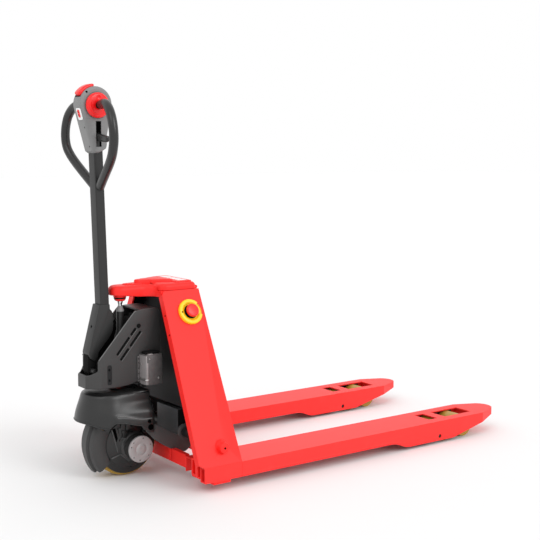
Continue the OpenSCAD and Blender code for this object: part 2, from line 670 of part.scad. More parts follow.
// Push rod from a rocker lug, under the fork, to its roller bracket
bracket_tip = [bracket_x - bracket_lug * sin(bracket_a), bracket_z + bracket_lug * cos(bracket_a)];
rod_z = [50, 62];
module rod_eye(x, z, r) difference() {
    for (s = [-1, 1]) rod_y(x, z, s > 0 ? 6 : -12, s > 0 ? 12 : -6, r);
    rod_y(x, z, -20, 20, link_pin_r + 3);
}
module push_rod_left() color("dimgray") translate([0, fork_mid, 0]) {
    rear_z = lug_tip[1] - 1.9;
    rod_eye(lug_tip[0], rear_z, 13);
    rod_eye(bracket_tip[0], bracket_tip[1] + 1.9, 13);
    for (s = [-1, 1]) {
        y0 = s > 0 ? 6 : -12;
        block(lug_tip[0] - 8, lug_tip[0] + 8, y0, y0 + 6, rod_z[0], rear_z - 9);
        block(lug_tip[0] - 8, bracket_tip[0] - 10, y0, y0 + 6, rod_z[0], rod_z[1]);
    }
    block(lug_tip[0] + 60, bracket_tip[0] - 60, -6, 6, rod_z[0], rod_z[1]);
}
module push_rod_right() mirror([0, 1, 0]) push_rod_left();

// Roller bracket: two cheeks on a pivot tube, with a lug for the push rod
plate_y = [roller_half + 0.5, roller_half + 5];
cheek = roller_half + 5.5;
module roller_bracket_left() color("dimgray") translate([0, fork_mid, 0]) {
    rod_y(bracket_x, bracket_z, -lug_half - lug_t / 2, lug_half + lug_t / 2, bracket_pin_r);
    rod_y(bracket_x, bracket_z, -cheek, cheek, 12);
    for (s = [-1, 1]) difference() {
        slab_xz(s > 0 ? cheek : -cheek - 5, s > 0 ? cheek + 5 : -cheek) hull() {
            translate([bracket_x, bracket_z]) circle(r = 12, $fn = 32);
            translate([bogie_x, roller_r]) circle(r = 14, $fn = 32);
        }
        rod_y(bogie_x, roller_r, -80, 80, 8 + fit);
    }
    slab_xz(-5, 5) hull() {
        translate([bracket_x, bracket_z]) circle(r = 12, $fn = 32);
        translate(bracket_tip) circle(r = 9, $fn = 32);
    }
    rod_y(bracket_tip[0], bracket_tip[1], -14, 14, link_pin_r);
}
module roller_bracket_right() mirror([0, 1, 0]) roller_bracket_left();
// Bogie: two plates that hold a pair of rollers and rock on a shaft in the bracket
bogie_half = 46;
axle_r = 6;
module bogie_left() color("dimgray") translate([0, fork_mid, 0]) {
    for (s = [-1, 1]) slab_xz(s > 0 ? plate_y[0] : -plate_y[1], s > 0 ? plate_y[1] : -plate_y[0])
        hull() for (k = [-1, 1]) translate([bogie_x + k * bogie_half, roller_r]) circle(r = 14, $fn = 32);
    rod_y(bogie_x, roller_r, -cheek - 8, cheek + 8, 8);
    for (k = [-1, 1]) rod_y(bogie_x + k * bogie_half, roller_r, -plate_y[1], plate_y[1], axle_r);
}
module bogie_right() mirror([0, 1, 0]) bogie_left();
module roller(k, s) color("goldenrod") side(s) difference() {
    rod_y(bogie_x + k * bogie_half, roller_r, fork_mid - roller_half, fork_mid + roller_half, roller_r);
    rod_y(bogie_x + k * bogie_half, roller_r, 0, fork_span, axle_r + fit);
}
module roller_front_left() roller(1, 1);
module roller_rear_left() roller(-1, 1);
module roller_front_right() roller(1, -1);
module roller_rear_right() roller(-1, -1);

place() fork_left();
place() fork_right();
place() heel_left();
place() heel_right();
place() side_plate_left();
place() side_plate_right();
place() back_panel();
place() top_deck();
place() thrust_cup();
place() lift_piston();
place() cross_beam();
place() heel_brackets();
place() heel_skids();
place() pivot_bosses();
place() battery_case();
place() battery_pack();
place() controller_box();
place() e_stop_ring();
place() e_stop_button();
place() lid_hinge_pin();
place() battery_lid();
place() wheel_dome();
place() ear_pins();
place() steering_column();
place() drive_housing();
place() drive_motor();
place() motor_cap();
place() foot_guard();
place() pump_cover();
place() lift_cylinder();
place() control_unit();
place() tiller_pin();
place() wheel_axle();
place() drive_hub();
place() drive_tyre();
place() tiller_bracket();
place() tiller_tube();
place() control_head();
place() handle_loop_left();
place() handle_loop_right();
place() throttle_left();
place() throttle_right();
place() belly_switch();
place() lift_lever();
place() horn_button();
place() rocker_shaft();
place() rocker_arm_left();
place() rocker_arm_right();
place() push_rod_left();
place() push_rod_right();
place() roller_bracket_left();
place() roller_bracket_right();
place() bogie_left();
place() bogie_right();
place() roller_front_left();
place() roller_rear_left();
place() roller_front_right();
place() roller_rear_right();
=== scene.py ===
import bpy, bmesh, json, math
from mathutils import Matrix, Vector


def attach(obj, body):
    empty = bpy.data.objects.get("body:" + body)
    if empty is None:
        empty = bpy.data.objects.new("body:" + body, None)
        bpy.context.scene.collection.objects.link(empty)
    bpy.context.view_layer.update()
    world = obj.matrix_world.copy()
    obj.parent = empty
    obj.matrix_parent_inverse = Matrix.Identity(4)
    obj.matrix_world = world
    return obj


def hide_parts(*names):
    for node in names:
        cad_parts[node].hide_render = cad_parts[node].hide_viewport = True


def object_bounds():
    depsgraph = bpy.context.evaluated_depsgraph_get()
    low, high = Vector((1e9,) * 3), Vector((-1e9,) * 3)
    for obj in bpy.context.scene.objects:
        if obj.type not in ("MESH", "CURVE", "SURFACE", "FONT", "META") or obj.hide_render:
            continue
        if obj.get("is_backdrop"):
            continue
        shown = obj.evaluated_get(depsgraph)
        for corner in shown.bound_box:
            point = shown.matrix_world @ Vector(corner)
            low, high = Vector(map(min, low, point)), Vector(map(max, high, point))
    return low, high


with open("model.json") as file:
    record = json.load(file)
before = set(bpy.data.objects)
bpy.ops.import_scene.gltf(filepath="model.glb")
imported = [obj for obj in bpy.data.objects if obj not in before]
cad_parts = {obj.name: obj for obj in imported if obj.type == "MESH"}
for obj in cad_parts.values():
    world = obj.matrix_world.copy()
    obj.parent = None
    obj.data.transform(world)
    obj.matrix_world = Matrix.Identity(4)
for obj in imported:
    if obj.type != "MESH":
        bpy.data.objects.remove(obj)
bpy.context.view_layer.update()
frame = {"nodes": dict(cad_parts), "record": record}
X0 = 382.0            # the truck's load face, in front of the part's own origin, mm
STEER = -230.0        # steering axis
AXLE_Z = 105          # drive wheel's axle
HALF_SPAN = 342.5     # half of the width over the forks
FORK_MID = 267.5      # middle line of a fork
ROCKER = (-60, 130)   # rocker shaft
TILLER_PIN = (-339, 347)
HEAD = (-312.0, 1157.0)
SIDE = {1: "left", -1: "right"}
HEXAHEDRON = [[0, 1, 2, 3], [4, 5, 6, 7], [0, 1, 5, 4], [1, 2, 6, 5], [2, 3, 7, 6], [3, 0, 4, 7]]
PLANES = {"xz": lambda p, a: (p[0], a, p[1]), "xy": lambda p, a: (p[0], p[1], a), "yz": lambda p,
          a: (a, p[0], p[1])}


# ---------------------------------------------------------------- mesh helpers (truck axes, mm)
def P(x, y, z):
    return Vector(((x - X0) / 1000, y / 1000, z / 1000))


def put(name, mesh, body, mat, smooth=40):
    o = bpy.data.objects.new(name, mesh)
    bpy.context.scene.collection.objects.link(o)
    mesh.materials.append(mat)
    for p in mesh.polygons:
        p.use_smooth = True
    mesh.set_sharp_from_angle(angle=math.radians(smooth))
    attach(o, body)
    return o


def from_faces(name, verts, faces):
    m = bpy.data.meshes.new(name)
    m.from_pydata([P(*v) for v in verts], [], faces)
    bm = bmesh.new()
    bm.from_mesh(m)
    bmesh.ops.remove_doubles(bm, verts=bm.verts, dist=1e-6)
    bmesh.ops.recalc_face_normals(bm, faces=bm.faces)
    bm.to_mesh(m)
    bm.free()
    return m


def bevelled(mesh, width, segments=3, angle=30):
    bm = bmesh.new()
    bm.from_mesh(mesh)
    edges = [e for e in bm.edges if len(e.link_faces) == 2 and e.calc_face_angle() > math.radians(angle)]
    bmesh.ops.bevel(bm, geom=edges, offset=width / 1000, segments=segments, profile=0.5, affect="EDGES",
                    clamp_overlap=True)
    bm.to_mesh(mesh)
    bm.free()
    return mesh


def prism(name, outline, a0, a1, plane="xz", bev=0, seg=3, angle=30):
    """A closed outline pushed from a0 to a1 along the third axis."""
    n = len(outline)
    verts = [PLANES[plane](p, a) for a in (a0, a1) for p in outline]
    faces = [list(range(n)), list(range(n, 2 * n))]
    faces += [[i, (i + 1) % n, n + (i + 1) % n, n + i] for i in range(n)]
    m = from_faces(name, verts, faces)
    return bevelled(m, bev, seg, angle) if bev else m


def box(name, x0, x1, y0, y1, z0, z1, bev=1.0, seg=2):
    return prism(name, [(x0, z0), (x1, z0), (x1, z1), (x0, z1)], y0, y1, bev=bev, seg=seg)


def loft(name, sections):
    """Closed sections of equal length joined in order, with both ends capped."""
    k, rows = len(sections[0]), len(sections) - 1
    faces = [[i * k + j, i * k + (j + 1) % k, (i + 1) * k + (j + 1) % k, (i + 1) * k + j]
             for i in range(rows) for j in range(k)]
    faces += [list(range(k)), list(range(rows * k, rows * k + k))]
    return from_faces(name, [v for section in sections for v in section], faces)


def basis(axis):
    w = Vector(axis).normalized()
    u = w.cross(Vector((0, 0, 1)) if abs(w.z) < 0.9 else Vector((1, 0, 0))).normalized()
    return u, w.cross(u), w


def lathe(name, origin, axis, profile, n=64):
    """profile is [(radius, height)] from one end to the other; radius 0 closes it."""
    u, v, w = basis(axis)
    o = Vector(origin)
    verts, faces = [], []
    for r, h in profile:
        for i in range(n):
            a = 2 * math.pi * i / n
            verts.append(tuple(o + w * h + (u * math.cos(a) + v * math.sin(a)) * r))
    for k in range(len(profile) - 1):
        for i in range(n):
            j = (i + 1) % n
            faces.append([k * n + i, k * n + j, (k + 1) * n + j, (k + 1) * n + i])
    return from_faces(name, verts, faces)


def catmull(points, steps):
    pts = [Vector(p) for p in points]
    pts = [2 * pts[0] - pts[1]] + pts + [2 * pts[-1] - pts[-2]]
    out = []
    for k in range(1, len(pts) - 2):
        a, b, c, d = pts[k - 1:k + 3]
        for s in range(steps):
            t = s / steps
            out.append(0.5 * (2 * b + (c - a) * t + (2 * a - 5 * b + 4 * c - d) * t * t
                              + (3 * b - a - 3 * c + d) * t ** 3))
    return out + [pts[-2]]


def rod(name, origin, axis, r, h0, h1, n):
    """A solid round bar from height h0 to h1 along the axis."""
    return lathe(name, origin, axis, [(0, h0), (r, h0), (r, h1), (0, h1)], n)


def tube(name, points, radius, n=20, steps=8):
    """A round bar along points; radius is a number or a function of 0..1 along it."""
    pts = catmull(points, steps) if steps else [Vector(p) for p in points]
    rad = radius if callable(radius) else (lambda t: radius)
    sections, up = [], None
    last = len(pts) - 1
    for i, p in enumerate(pts):
        t = (pts[min(i + 1, last)] - pts[max(i - 1, 0)]).normalized()
        up = basis(t)[0] if up is None else (up - t * up.dot(t)).normalized()
        side = t.cross(up)
        r = rad(i / last)
        turns = [2 * math.pi * k / n for k in range(n)]
        sections.append([tuple(p + (up * math.cos(a) + side * math.sin(a)) * r) for a in turns])
    return loft(name, sections)


def merge(name, *meshes):
    """Several shells as one mesh."""
    bm = bmesh.new()
    for m in meshes:
        bm.from_mesh(m)
    out = bpy.data.meshes.new(name)
    bm.to_mesh(out)
    bm.free()
    return out


def cut(mesh, *cutters):
    """mesh less each cutter."""
    target = bpy.data.objects.new("cut_target", mesh)
    bpy.context.scene.collection.objects.link(target)
    temps = []
    for c in cutters:
        o = bpy.data.objects.new("cutter", c)
        bpy.context.scene.collection.objects.link(o)
        temps.append(o)
        mod = target.modifiers.new("cut", "BOOLEAN")
        mod.object, mod.operation, mod.solver = o, "DIFFERENCE", "EXACT"
    dg = bpy.context.evaluated_depsgraph_get()
    out = bpy.data.meshes.new_from_object(target.evaluated_get(dg))
    for o in temps + [target]:
        bpy.data.objects.remove(o)
    return out


def around(cx, cy, r, a):
    """The point at angle a on a circle."""
    return cx + r * math.cos(math.radians(a)), cy + r * math.sin(math.radians(a))


def ring(cx, cy, r, a0, a1, n):
    return [around(cx, cy, r, a0 + (a1 - a0) * i / n) for i in range(n + 1)]


def span(s, a, b):
    """a and b on side s, lower one first."""
    return sorted((s * a, s * b))


def rounded(points, radius, n=5):
    """A polygon's corners rounded."""
    out, k = [], len(points)
    for i in range(k):
        a, b, c = Vector(points[i - 1]), Vector(points[i]), Vector(points[(i + 1) % k])
        r = radius[i] if isinstance(radius, (list, tuple)) else radius
        d = min(r, (a - b).length * 0.45, (c - b).length * 0.45)
        p, q = b + (a - b).normalized() * d, b + (c - b).normalized() * d
        out += [tuple(p * (1 - t) ** 2 + b * 2 * t * (1 - t) + q * t * t)
                for t in [s / n for s in range(n + 1)]]
    return out


def dilate(points, d):
    """The outline moved outwards by d."""
    n = len(points)
    area = sum(points[i - 1][0] * points[i][1] - points[i][0] * points[i - 1][1] for i in range(n))
    turn = 1 if area > 0 else -1
    out = []
    for i in range(n):
        a, b, c = Vector(points[i - 1]), Vector(points[i]), Vector(points[(i + 1) % n])
        u, v = (b - a).normalized(), (c - b).normalized()
        n1, n2 = Vector((u.y, -u.x)) * turn, Vector((v.y, -v.x)) * turn
        m = (n1 + n2).normalized()
        out.append(tuple(b + m * d / max(0.4, m.dot(n1))))
    return out


def layered(name, outline, levels, plane="xz"):
    """An outline at several levels (height, offset), moved in or out by the offset."""
    return loft(name, [[PLANES[plane](p, h) for p in dilate(outline, d)] for h, d in levels])


def round_levels(half, r, n=7):
    """Levels for a slab of the given half thickness with its edges rounded by r."""
    turns = [math.pi / 2 * k / n for k in range(n + 1)]
    upper = [(half - r + r * math.sin(a), -r + r * math.cos(a)) for a in turns]
    return [(-y, d) for y, d in reversed(upper)] + upper


def swept(name, cx, cz, stations, r=5):
    """A rounded bar bent round (cx, cz): stations are (angle, inner radius, outer radius, half width)."""
    sections = []
    for a, r0, r1, w in stations:
        c, s = math.cos(math.radians(a)), math.sin(math.radians(a))
        rr = min(r, (r1 - r0) / 2.01, w / 1.01)
        sec = []
        for (sy, sr, a0) in ((1, 1, 0), (-1, 1, 90), (-1, -1, 180), (1, -1, 270)):
            for t in range(6):
                b = math.radians(a0 + 18 * t)
                sec.append(((w - rr) * sy + rr * math.cos(b), (r1 - rr
                        if sr > 0 else r0 + rr) + rr * math.sin(b)))
        sections.append([(cx + q * c, y, cz + q * s) for y, q in sec])
    return loft(name, sections)


# ---------------------------------------------------------------- materials
def mat(name, color, rough, metal=0.0, vary=0.12, scale=60, bump=0.02, grain=900, coat=0.0,
        stretch=(1, 1, 1), rough_vary=0.08, dirt=0.0, spec=0.5):
    """Procedural finish: slow tone drift, fine grain in roughness and relief, and dust in random patches."""
    m = bpy.data.materials.new(name)
    m.use_nodes = True
    t = m.node_tree
    b = t.nodes["Principled BSDF"]
    geo = t.nodes.new("ShaderNodeTexCoord")
    mp = t.nodes.new("ShaderNodeMapping")
    mp.inputs["Scale"].default_value = stretch
    t.links.new(geo.outputs["Object"], mp.inputs["Vector"])

    def noise(s, detail=4):
        n = t.nodes.new("ShaderNodeTexNoise")
        n.inputs["Scale"].default_value = s
        n.inputs["Detail"].default_value = detail
        t.links.new(mp.outputs["Vector"], n.inputs["Vector"])
        return n
    slow, fine = noise(scale / 10), noise(grain, 2)
    ramp = t.nodes.new("ShaderNodeMix")
    ramp.data_type = "RGBA"
    lo = [c * (1 - vary) for c in color]
    hi = [min(1, c * (1 + vary)) for c in color]
    ramp.inputs["A"].default_value = (*lo, 1)
    ramp.inputs["B"].default_value = (*hi, 1)
    t.links.new(slow.outputs["Fac"], ramp.inputs["Factor"])
    source = ramp.outputs["Result"]
    if dirt:
        wear = noise(scale / 3, 6)
        curve = t.nodes.new("ShaderNodeMapRange")
        curve.inputs["From Min"].default_value = 0.55
        curve.inputs["From Max"].default_value = 0.8
        curve.inputs["To Max"].default_value = dirt
        t.links.new(wear.outputs["Fac"], curve.inputs["Value"])
        dust = t.nodes.new("ShaderNodeMix")
        dust.data_type = "RGBA"
        dust.inputs["B"].default_value = (0.25, 0.23, 0.2, 1)
        t.links.new(source, dust.inputs["A"])
        t.links.new(curve.outputs["Result"], dust.inputs["Factor"])
        source = dust.outputs["Result"]
    t.links.new(source, b.inputs["Base Color"])
    rr = t.nodes.new("ShaderNodeMapRange")
    rr.inputs["To Min"].default_value = max(0.02, rough - rough_vary)
    rr.inputs["To Max"].default_value = min(1, rough + rough_vary)
    t.links.new(fine.outputs["Fac"], rr.inputs["Value"])
    t.links.new(rr.outputs["Result"], b.inputs["Roughness"])
    bp = t.nodes.new("ShaderNodeBump")
    bp.inputs["Strength"].default_value = bump
    bp.inputs["Distance"].default_value = 0.0006
    t.links.new(fine.outputs["Fac"], bp.inputs["Height"])
    t.links.new(bp.outputs["Normal"], b.inputs["Normal"])
    b.inputs["Metallic"].default_value = metal
    b.inputs["Coat Weight"].default_value = coat
    b.inputs["Specular IOR Level"].default_value = spec
    b.inputs["Coat Roughness"].default_value = 0.15
    return m


RED = mat("red_powder_coat", (0.93, 0.020, 0.016), 0.42, vary=0.05, bump=0.04, grain=700, spec=0.3)
FORK = mat("fork_powder_coat", (0.93, 0.026, 0.022), 0.46, vary=0.05, bump=0.05, grain=650, spec=0.35,
           dirt=0.03)
# charcoal paint, also used for the thin sheets of painted shade inside the fork channels
DARK = mat("charcoal_paint_and_painted_shade", (0.010, 0.010, 0.010), 0.45, vary=0.12, bump=0.08, grain=1100)
CAST = mat("painted_casting", (0.012, 0.012, 0.012), 0.33, vary=0.15, bump=0.12, grain=520, dirt=0.03)
ABS = mat("black_textured_plastic", (0.034, 0.033, 0.033), 0.45, vary=0.12, bump=0.25, grain=1500)
# dark case plastic, also used as painted shade on the floor of the cover's oblong recesses
CASE = mat("case_plastic_and_painted_shade", (0.0085, 0.009, 0.010), 0.6, vary=0.1, bump=0.2, grain=1400, spec=0.35)
# near-black painted shade inside holes, pits, slots and recesses
HOLE_SHADE = mat("painted_hole_shade", (0.0015, 0.0015, 0.0015), 0.9, vary=0.1, bump=0.0, spec=0.0)
# light grey painted highlight along edges and crests, and painted glint on two small bolts
PAINTED_HIGHLIGHT = mat("painted_highlight_edge", (0.14, 0.14, 0.14), 0.4, vary=0.15, bump=0.05)
# dark paint raised in tone as painted light, for the rocker plates and housing ribs that sit in shade
ARM_WITH_PAINTED_LIGHT = mat("arm_paint_with_painted_light", (0.07, 0.07, 0.07), 0.5, vary=0.12, bump=0.1, grain=1000)
# grey plastic raised in tone as painted light, for the controller box in the shaded cavity
BOX_WITH_PAINTED_LIGHT = mat("grey_box_plastic_with_painted_light", (0.058, 0.062, 0.066), 0.50, vary=0.1, bump=0.15, grain=1200)
# black plastic for real parts, and also near-black painted shade on the bracket tongue, stop well, inner
# sheets, box flank and cap holes
BLACK = mat("black_plastic_and_painted_shade", (0.006, 0.006, 0.006), 0.8, vary=0.2, bump=0.1, spec=0.1)
GREY = mat("head_grey_plastic", (0.215, 0.215, 0.215), 0.48, vary=0.06, bump=0.25, grain=1600)
REDP = mat("red_plastic", (0.90, 0.004, 0.005), 0.34, vary=0.04, bump=0.0, grain=1500, coat=0.1)
YELLOW = mat("yellow_plastic", (0.95, 0.62, 0.01), 0.32, vary=0.05, bump=0.04, grain=1500, coat=0.2)
STEEL = mat("machined_steel", (0.55, 0.54, 0.53), 0.3, metal=1, vary=0.1, bump=0.05, stretch=(1, 1, 12))
CHROME = mat("hard_chrome", (0.72, 0.72, 0.72), 0.12, metal=1, vary=0.05, bump=0.01, rough_vary=0.03)
ALU = mat("cast_aluminium", (0.12, 0.112, 0.112), 0.5, metal=0.35, vary=0.25, scale=900, bump=0.3,
          grain=1300)
# a lighter copy of the cast aluminium as painted light, for the control box faces turned to the light
ALU_WITH_PAINTED_LIGHT = mat("aluminium_with_painted_light", (0.34, 0.315, 0.315), 0.45, metal=0.4, vary=0.2, scale=700, bump=0.25,
           grain=1100)
CAP = mat("cap_aluminium", (0.37, 0.35, 0.35), 0.55, metal=0.35, vary=0.08, bump=0.3, grain=1200)
PU = mat("amber_polyurethane", (0.42, 0.25, 0.03), 0.38, vary=0.15, bump=0.1, grain=500, dirt=0.15)
RUB = mat("soft_black_grip", (0.014, 0.014, 0.014), 0.28, vary=0.1, bump=0.15, grain=1800)
LABEL = mat("white_label", (0.85, 0.85, 0.85), 0.4, vary=0.03, bump=0.02)

LOOKS = {
    "fork": FORK, "frame": RED, "chrome": CHROME, "grey": GREY, "abs": ABS, "yellow": YELLOW,
         "redplastic": REDP, "steel": STEEL, "cast": CAST, "dark": DARK, "alu": ALU, "pu": PU, "grip": RUB,
}
OWN = {"controller_box": BOX_WITH_PAINTED_LIGHT, "battery_case": CASE, "battery_pack": BLACK, "motor_cap": CAP,
       "lid_hinge_pin": RED}
for part in frame["record"]["subparts"]:
    node = frame["nodes"][part["node"]]
    node.data.materials.clear()
    node.data.materials.append(OWN.get(part["node"], LOOKS[part["material_slot"]]))
    weld = node.modifiers.new("weld", "WELD")
    weld.merge_threshold = 0.00002
    bev = node.modifiers.new("edge", "BEVEL")
    bev.width, bev.segments, bev.limit_method = 0.0012, 2, "ANGLE"
    bev.angle_limit = math.radians(32)
    bev.harden_normals = False


# ---------------------------------------------------------------- camera, light, floor
def roll_matrix(yaw, pitch, roll):
    return (Matrix.Rotation(math.radians(-yaw), 4, "Z") @ Matrix.Rotation(math.radians(90 + pitch), 4, "X")
            @ Matrix.Rotation(math.radians(roll), 4, "Z"))


cam_data = bpy.data.cameras.new("camera")
cam = bpy.data.objects.new("camera", cam_data)
bpy.context.scene.collection.objects.link(cam)
cam_data.sensor_width = 36
cam_data.lens = 36 * 1072.3 / 540
cam_data.shift_x = 0.005
cam_data.clip_end = 60
cam.matrix_world = Matrix.Translation(P(-1779.6, -2981.2, 1032.7)) @ roll_matrix(35.37, -6.55, 0)
bpy.context.scene.camera = cam

floor_mesh = bpy.data.meshes.new("floor")
floor_mesh.from_pydata([(-30, -30, 0), (30, -30, 0), (30, 30, 0), (-30, 30, 0)], [], [(0, 1, 2, 3)])
floor = bpy.data.objects.new("floor", floor_mesh)
bpy.context.scene.collection.objects.link(floor)
floor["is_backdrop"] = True
floor_mat = mat("pale_floor", (0.83, 0.83, 0.83), 0.9, vary=0.004, bump=0.0)
floor_mesh.materials.append(floor_mat)

world = bpy.data.worlds.new("studio")
bpy.context.scene.world = world
world.use_nodes = True
world.node_tree.nodes["Background"].inputs["Color"].default_value = (1, 1, 1, 1)
world.node_tree.nodes["Background"].inputs["Strength"].default_value = 1.0
bpy.context.scene.view_settings.view_transform = "Standard"


def soft_sun(name, toward, strength, spread):
    """Even light travelling along toward, with a wide soft edge."""
    d = bpy.data.lights.new(name, "SUN")
    d.energy, d.angle = strength, math.radians(spread)
    o = bpy.data.objects.new(name, d)
    bpy.context.scene.collection.objects.link(o)
    o.rotation_euler = Vector(toward).to_track_quat("-Z", "Y").to_euler()


soft_sun("key", (-1.0, 3.2, -2.1), 0.85, 30)
soft_sun("front", (2.2, 1.2, -2.6), 0.35, 30)

# ---------------------------------------------------------------- wheel dome
DOME = [(170, 105, 105), (186, 105, 105), (200, 103, 103), (214, 100, 100), (227, 96.5, 96), (239, 91.5, 92),
        (249, 86, 88.5), (257, 80, 86), (264, 73, 84), (269, 66, 82), (273, 58, 79), (276, 48, 73),
        (278, 34, 60)]
EAR = (-191.0, 168.0)
EAR_R = 17
ARCH_TOP = 204.0      # lower edge behind the ears, out of sight
DOME_TOP = 278
FLARE = 3.6


def between(table, z):
    for a, b in zip(table, table[1:]):
        if z <= b[0]:
            t = max(0.0, (z - a[0]) / (b[0] - a[0]))
            return [p + (q - p) * t for p, q in zip(a, b)]
    return list(table[-1])


def smooth(t):
    t = min(1.0, max(0.0, t))
    return t * t * (3 - 2 * t)


def dome_ring(z, count):
    """Outline of the dome at height z: two round ends and the shoulders that reach out to the ears."""
    _, back, front = between(DOME, max(z, 170))
    ear = 96.5 - 25 * smooth((z - 212) / 40)
    discs = [(STEER, 0, back), (STEER - 49, 0, front), (EAR[0], ear, EAR_R), (EAR[0], -ear, EAR_R),
             (EAR[0] + 9, ear + 9, 8), (EAR[0] + 9, -ear - 9, 8)]
    dense = []
    for k in range(720):
        a = 2 * math.pi * k / 720
        c, s = math.cos(a), math.sin(a)
        best = max(discs, key=lambda d: d[0] * c + d[1] * s + d[2])
        dense.append((best[0] + best[2] * c, best[1] + best[2] * s))
    steps = [math.dist(dense[k], dense[(k + 1) % 720]) for k in range(720)]
    total, out, k, run = sum(steps), [], 0, 0.0
    for i in range(count):
        goal = total * i / count
        while run + steps[k] < goal:
            run += steps[k]
            k += 1
        t = (goal - run) / max(steps[k], 1e-9)
        a, b = dense[k], dense[(k + 1) % 720]
        out.append((a[0] + (b[0] - a[0]) * t, a[1] + (b[1] - a[1]) * t))
    return out


def dome_edge(x, y):
    """Height of the dome's lower edge: a deep front skirt, an arch over each side and the ears."""
    if x < -170 and abs(y) > 60 or x < -230:
        z = 188 - 15 * smooth((x + 385) / 58) + 17 * smooth((x + 325) / 24) - 17 * smooth((x + 300) / 95)
        if x > EAR[0]:
            z = 151.0
        elif x > -222:
            inside = EAR_R ** 2 - (x - EAR[0]) ** 2
            z = min(z, EAR[1] - math.sqrt(inside)) if inside > 0 else z - 15 * smooth((x + 222) / 14)
        return z
    return ARCH_TOP


def ridge_z(x):
    """Height of the crease over the arch; it falls towards the ears."""
    return 212 - 17 * smooth((x + 292) / 85)


def flare(x, y, z):
    """Outward step of the flank over the arch, which carries the ears."""
    along, below = smooth((x + 318) / 24), smooth((ridge_z(x) + 3 - z) / 6)
    return math.copysign(FLARE, y) * along * below * smooth((abs(y) - 60) / 20)


N_DOME, L_DOME = 264, 30
rings = {z: dome_ring(z, N_DOME) for z in range(148, DOME_TOP + 1)}
verts, faces, edge_points = [], [], []
for i in range(N_DOME):
    x, y = rings[180][i]
    z0 = dome_edge(x, y)
    for k in range(L_DOME + 1):
        z = z0 + (DOME_TOP - z0) * math.sin(math.pi / 2 * (k / L_DOME))
        za = min(DOME_TOP - 1, int(z))
        t = z - za
        a, b = rings[za][i], rings[za + 1][i]
        px, py = a[0] + (b[0] - a[0]) * t, a[1] + (b[1] - a[1]) * t
        verts.append((px, py + flare(px, py, z), z))
        if k == 0:
            edge_points.append((verts[-1][0], verts[-1][1], z0))
row = L_DOME + 1
for i in range(N_DOME):
    j = (i + 1) % N_DOME
    faces += [[i * row + k, j * row + k, j * row + k + 1, i * row + k + 1] for k in range(L_DOME)]
faces.append([i * row + L_DOME for i in range(N_DOME)])
dome_mesh = from_faces("dome_skin", verts, faces)
dome = put("dome_skin", dome_mesh, "carrier", CAST, 50)
shell = dome.modifiers.new("shell", "SOLIDIFY")
shell.thickness, shell.offset = 0.005, -1
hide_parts("wheel_dome")
skirt = [p for p in edge_points if p[0] < -218]
start = max(range(len(skirt)), key=lambda i: math.dist(skirt[i], skirt[i - 1]))
skirt = skirt[start:] + skirt[:start]
lip = [((p[0] + 273) * 0.998 - 273, p[1] * 1.003, p[2] + 3.2) for p in skirt[::3]]
put("dome_lip", tube("dome_lip", lip, 1.9, 12, 2), "carrier", CAST)
# a light grey tube along each crease: painted highlight
for s in (-1, 1):
    ridge = [(x, s * (abs(y) + 2.2), ridge_z(x)) for x, y in rings[204] if y * s > 60 and -300 < x < -178]
    ridge.sort()
    put("dome_ridge_" + SIDE[s], tube("ridge", ridge[::3], 1.5, 10, 2), "carrier", PAINTED_HIGHLIGHT)
neck = lathe("dome_neck", (STEER, 0, 276), (0, 0, 1), [(31, -8), (31, 5), (40, 5), (43, 4), (46, 1.6),
                                                       (60, 0.8)], 72)
put("dome_neck", neck, "carrier", CAST)
# near-black discs at the bottom of the ear holes: painted shade
for s in (-1, 1):
    y = s * 118.6
    ears = [lathe("ear_hole", (x, y - s * 6, z), (0, s, 0), [(0, 5), (r, 5), (r, 6.2), (r + 1.1, 6.7),
            (r + 1.6, 6)], 28)
            for (x, z, r) in ((EAR[0], EAR[1], 7.4), (-195, 187, 4.2))]
    fill = put("ear_holes_" + SIDE[s], merge("ears", *ears), "carrier", HOLE_SHADE)
    if s > 0:
        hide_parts("ear_pins")
screw = lathe("dome_screw", (-351, -67, 199), (-0.78, -0.62, 0.12),
              [(0, -1.4), (2.6, -1.4), (2.6, 0.2), (4.4, 0.5), (5.6, 0), (6.4, -1)], 28)
put("dome_screw", screw, "carrier", CAST)

# ---------------------------------------------------------------- pump cover and cup
outline = [(-366, 293), (-366, 334), (-353, 337), (-335, 349), (-335, 380), (-329, 389), (-214, 519),
           (-203, 527), (-186, 530.5), (-136, 532), (-124, 526), (-121, 512), (-121, 304), (-209, 302),
           (-226, 296), (-268, 293)]


def corner_wedges(x0, x1, x2, y1, y2, top):
    """What is cut off the cover's two rear corners."""
    return [prism("wedge", [(x0, s * y1), (x1, s * y1), (x2, s * y2), (x2, s * 90), (x0, s * 90)], 200, top,
                  "xy")
            for s in (-1, 1)]


def oblong(gap):
    """The oblong recess near the cover's foot, made smaller by gap all round."""
    x0, x1, z0, z1 = -308 + gap, -292 - gap, 303 + gap, 366 - gap
    return rounded([(x0, z0), (x1, z0), (x1, z1), (x0, z1)], 8, 6)


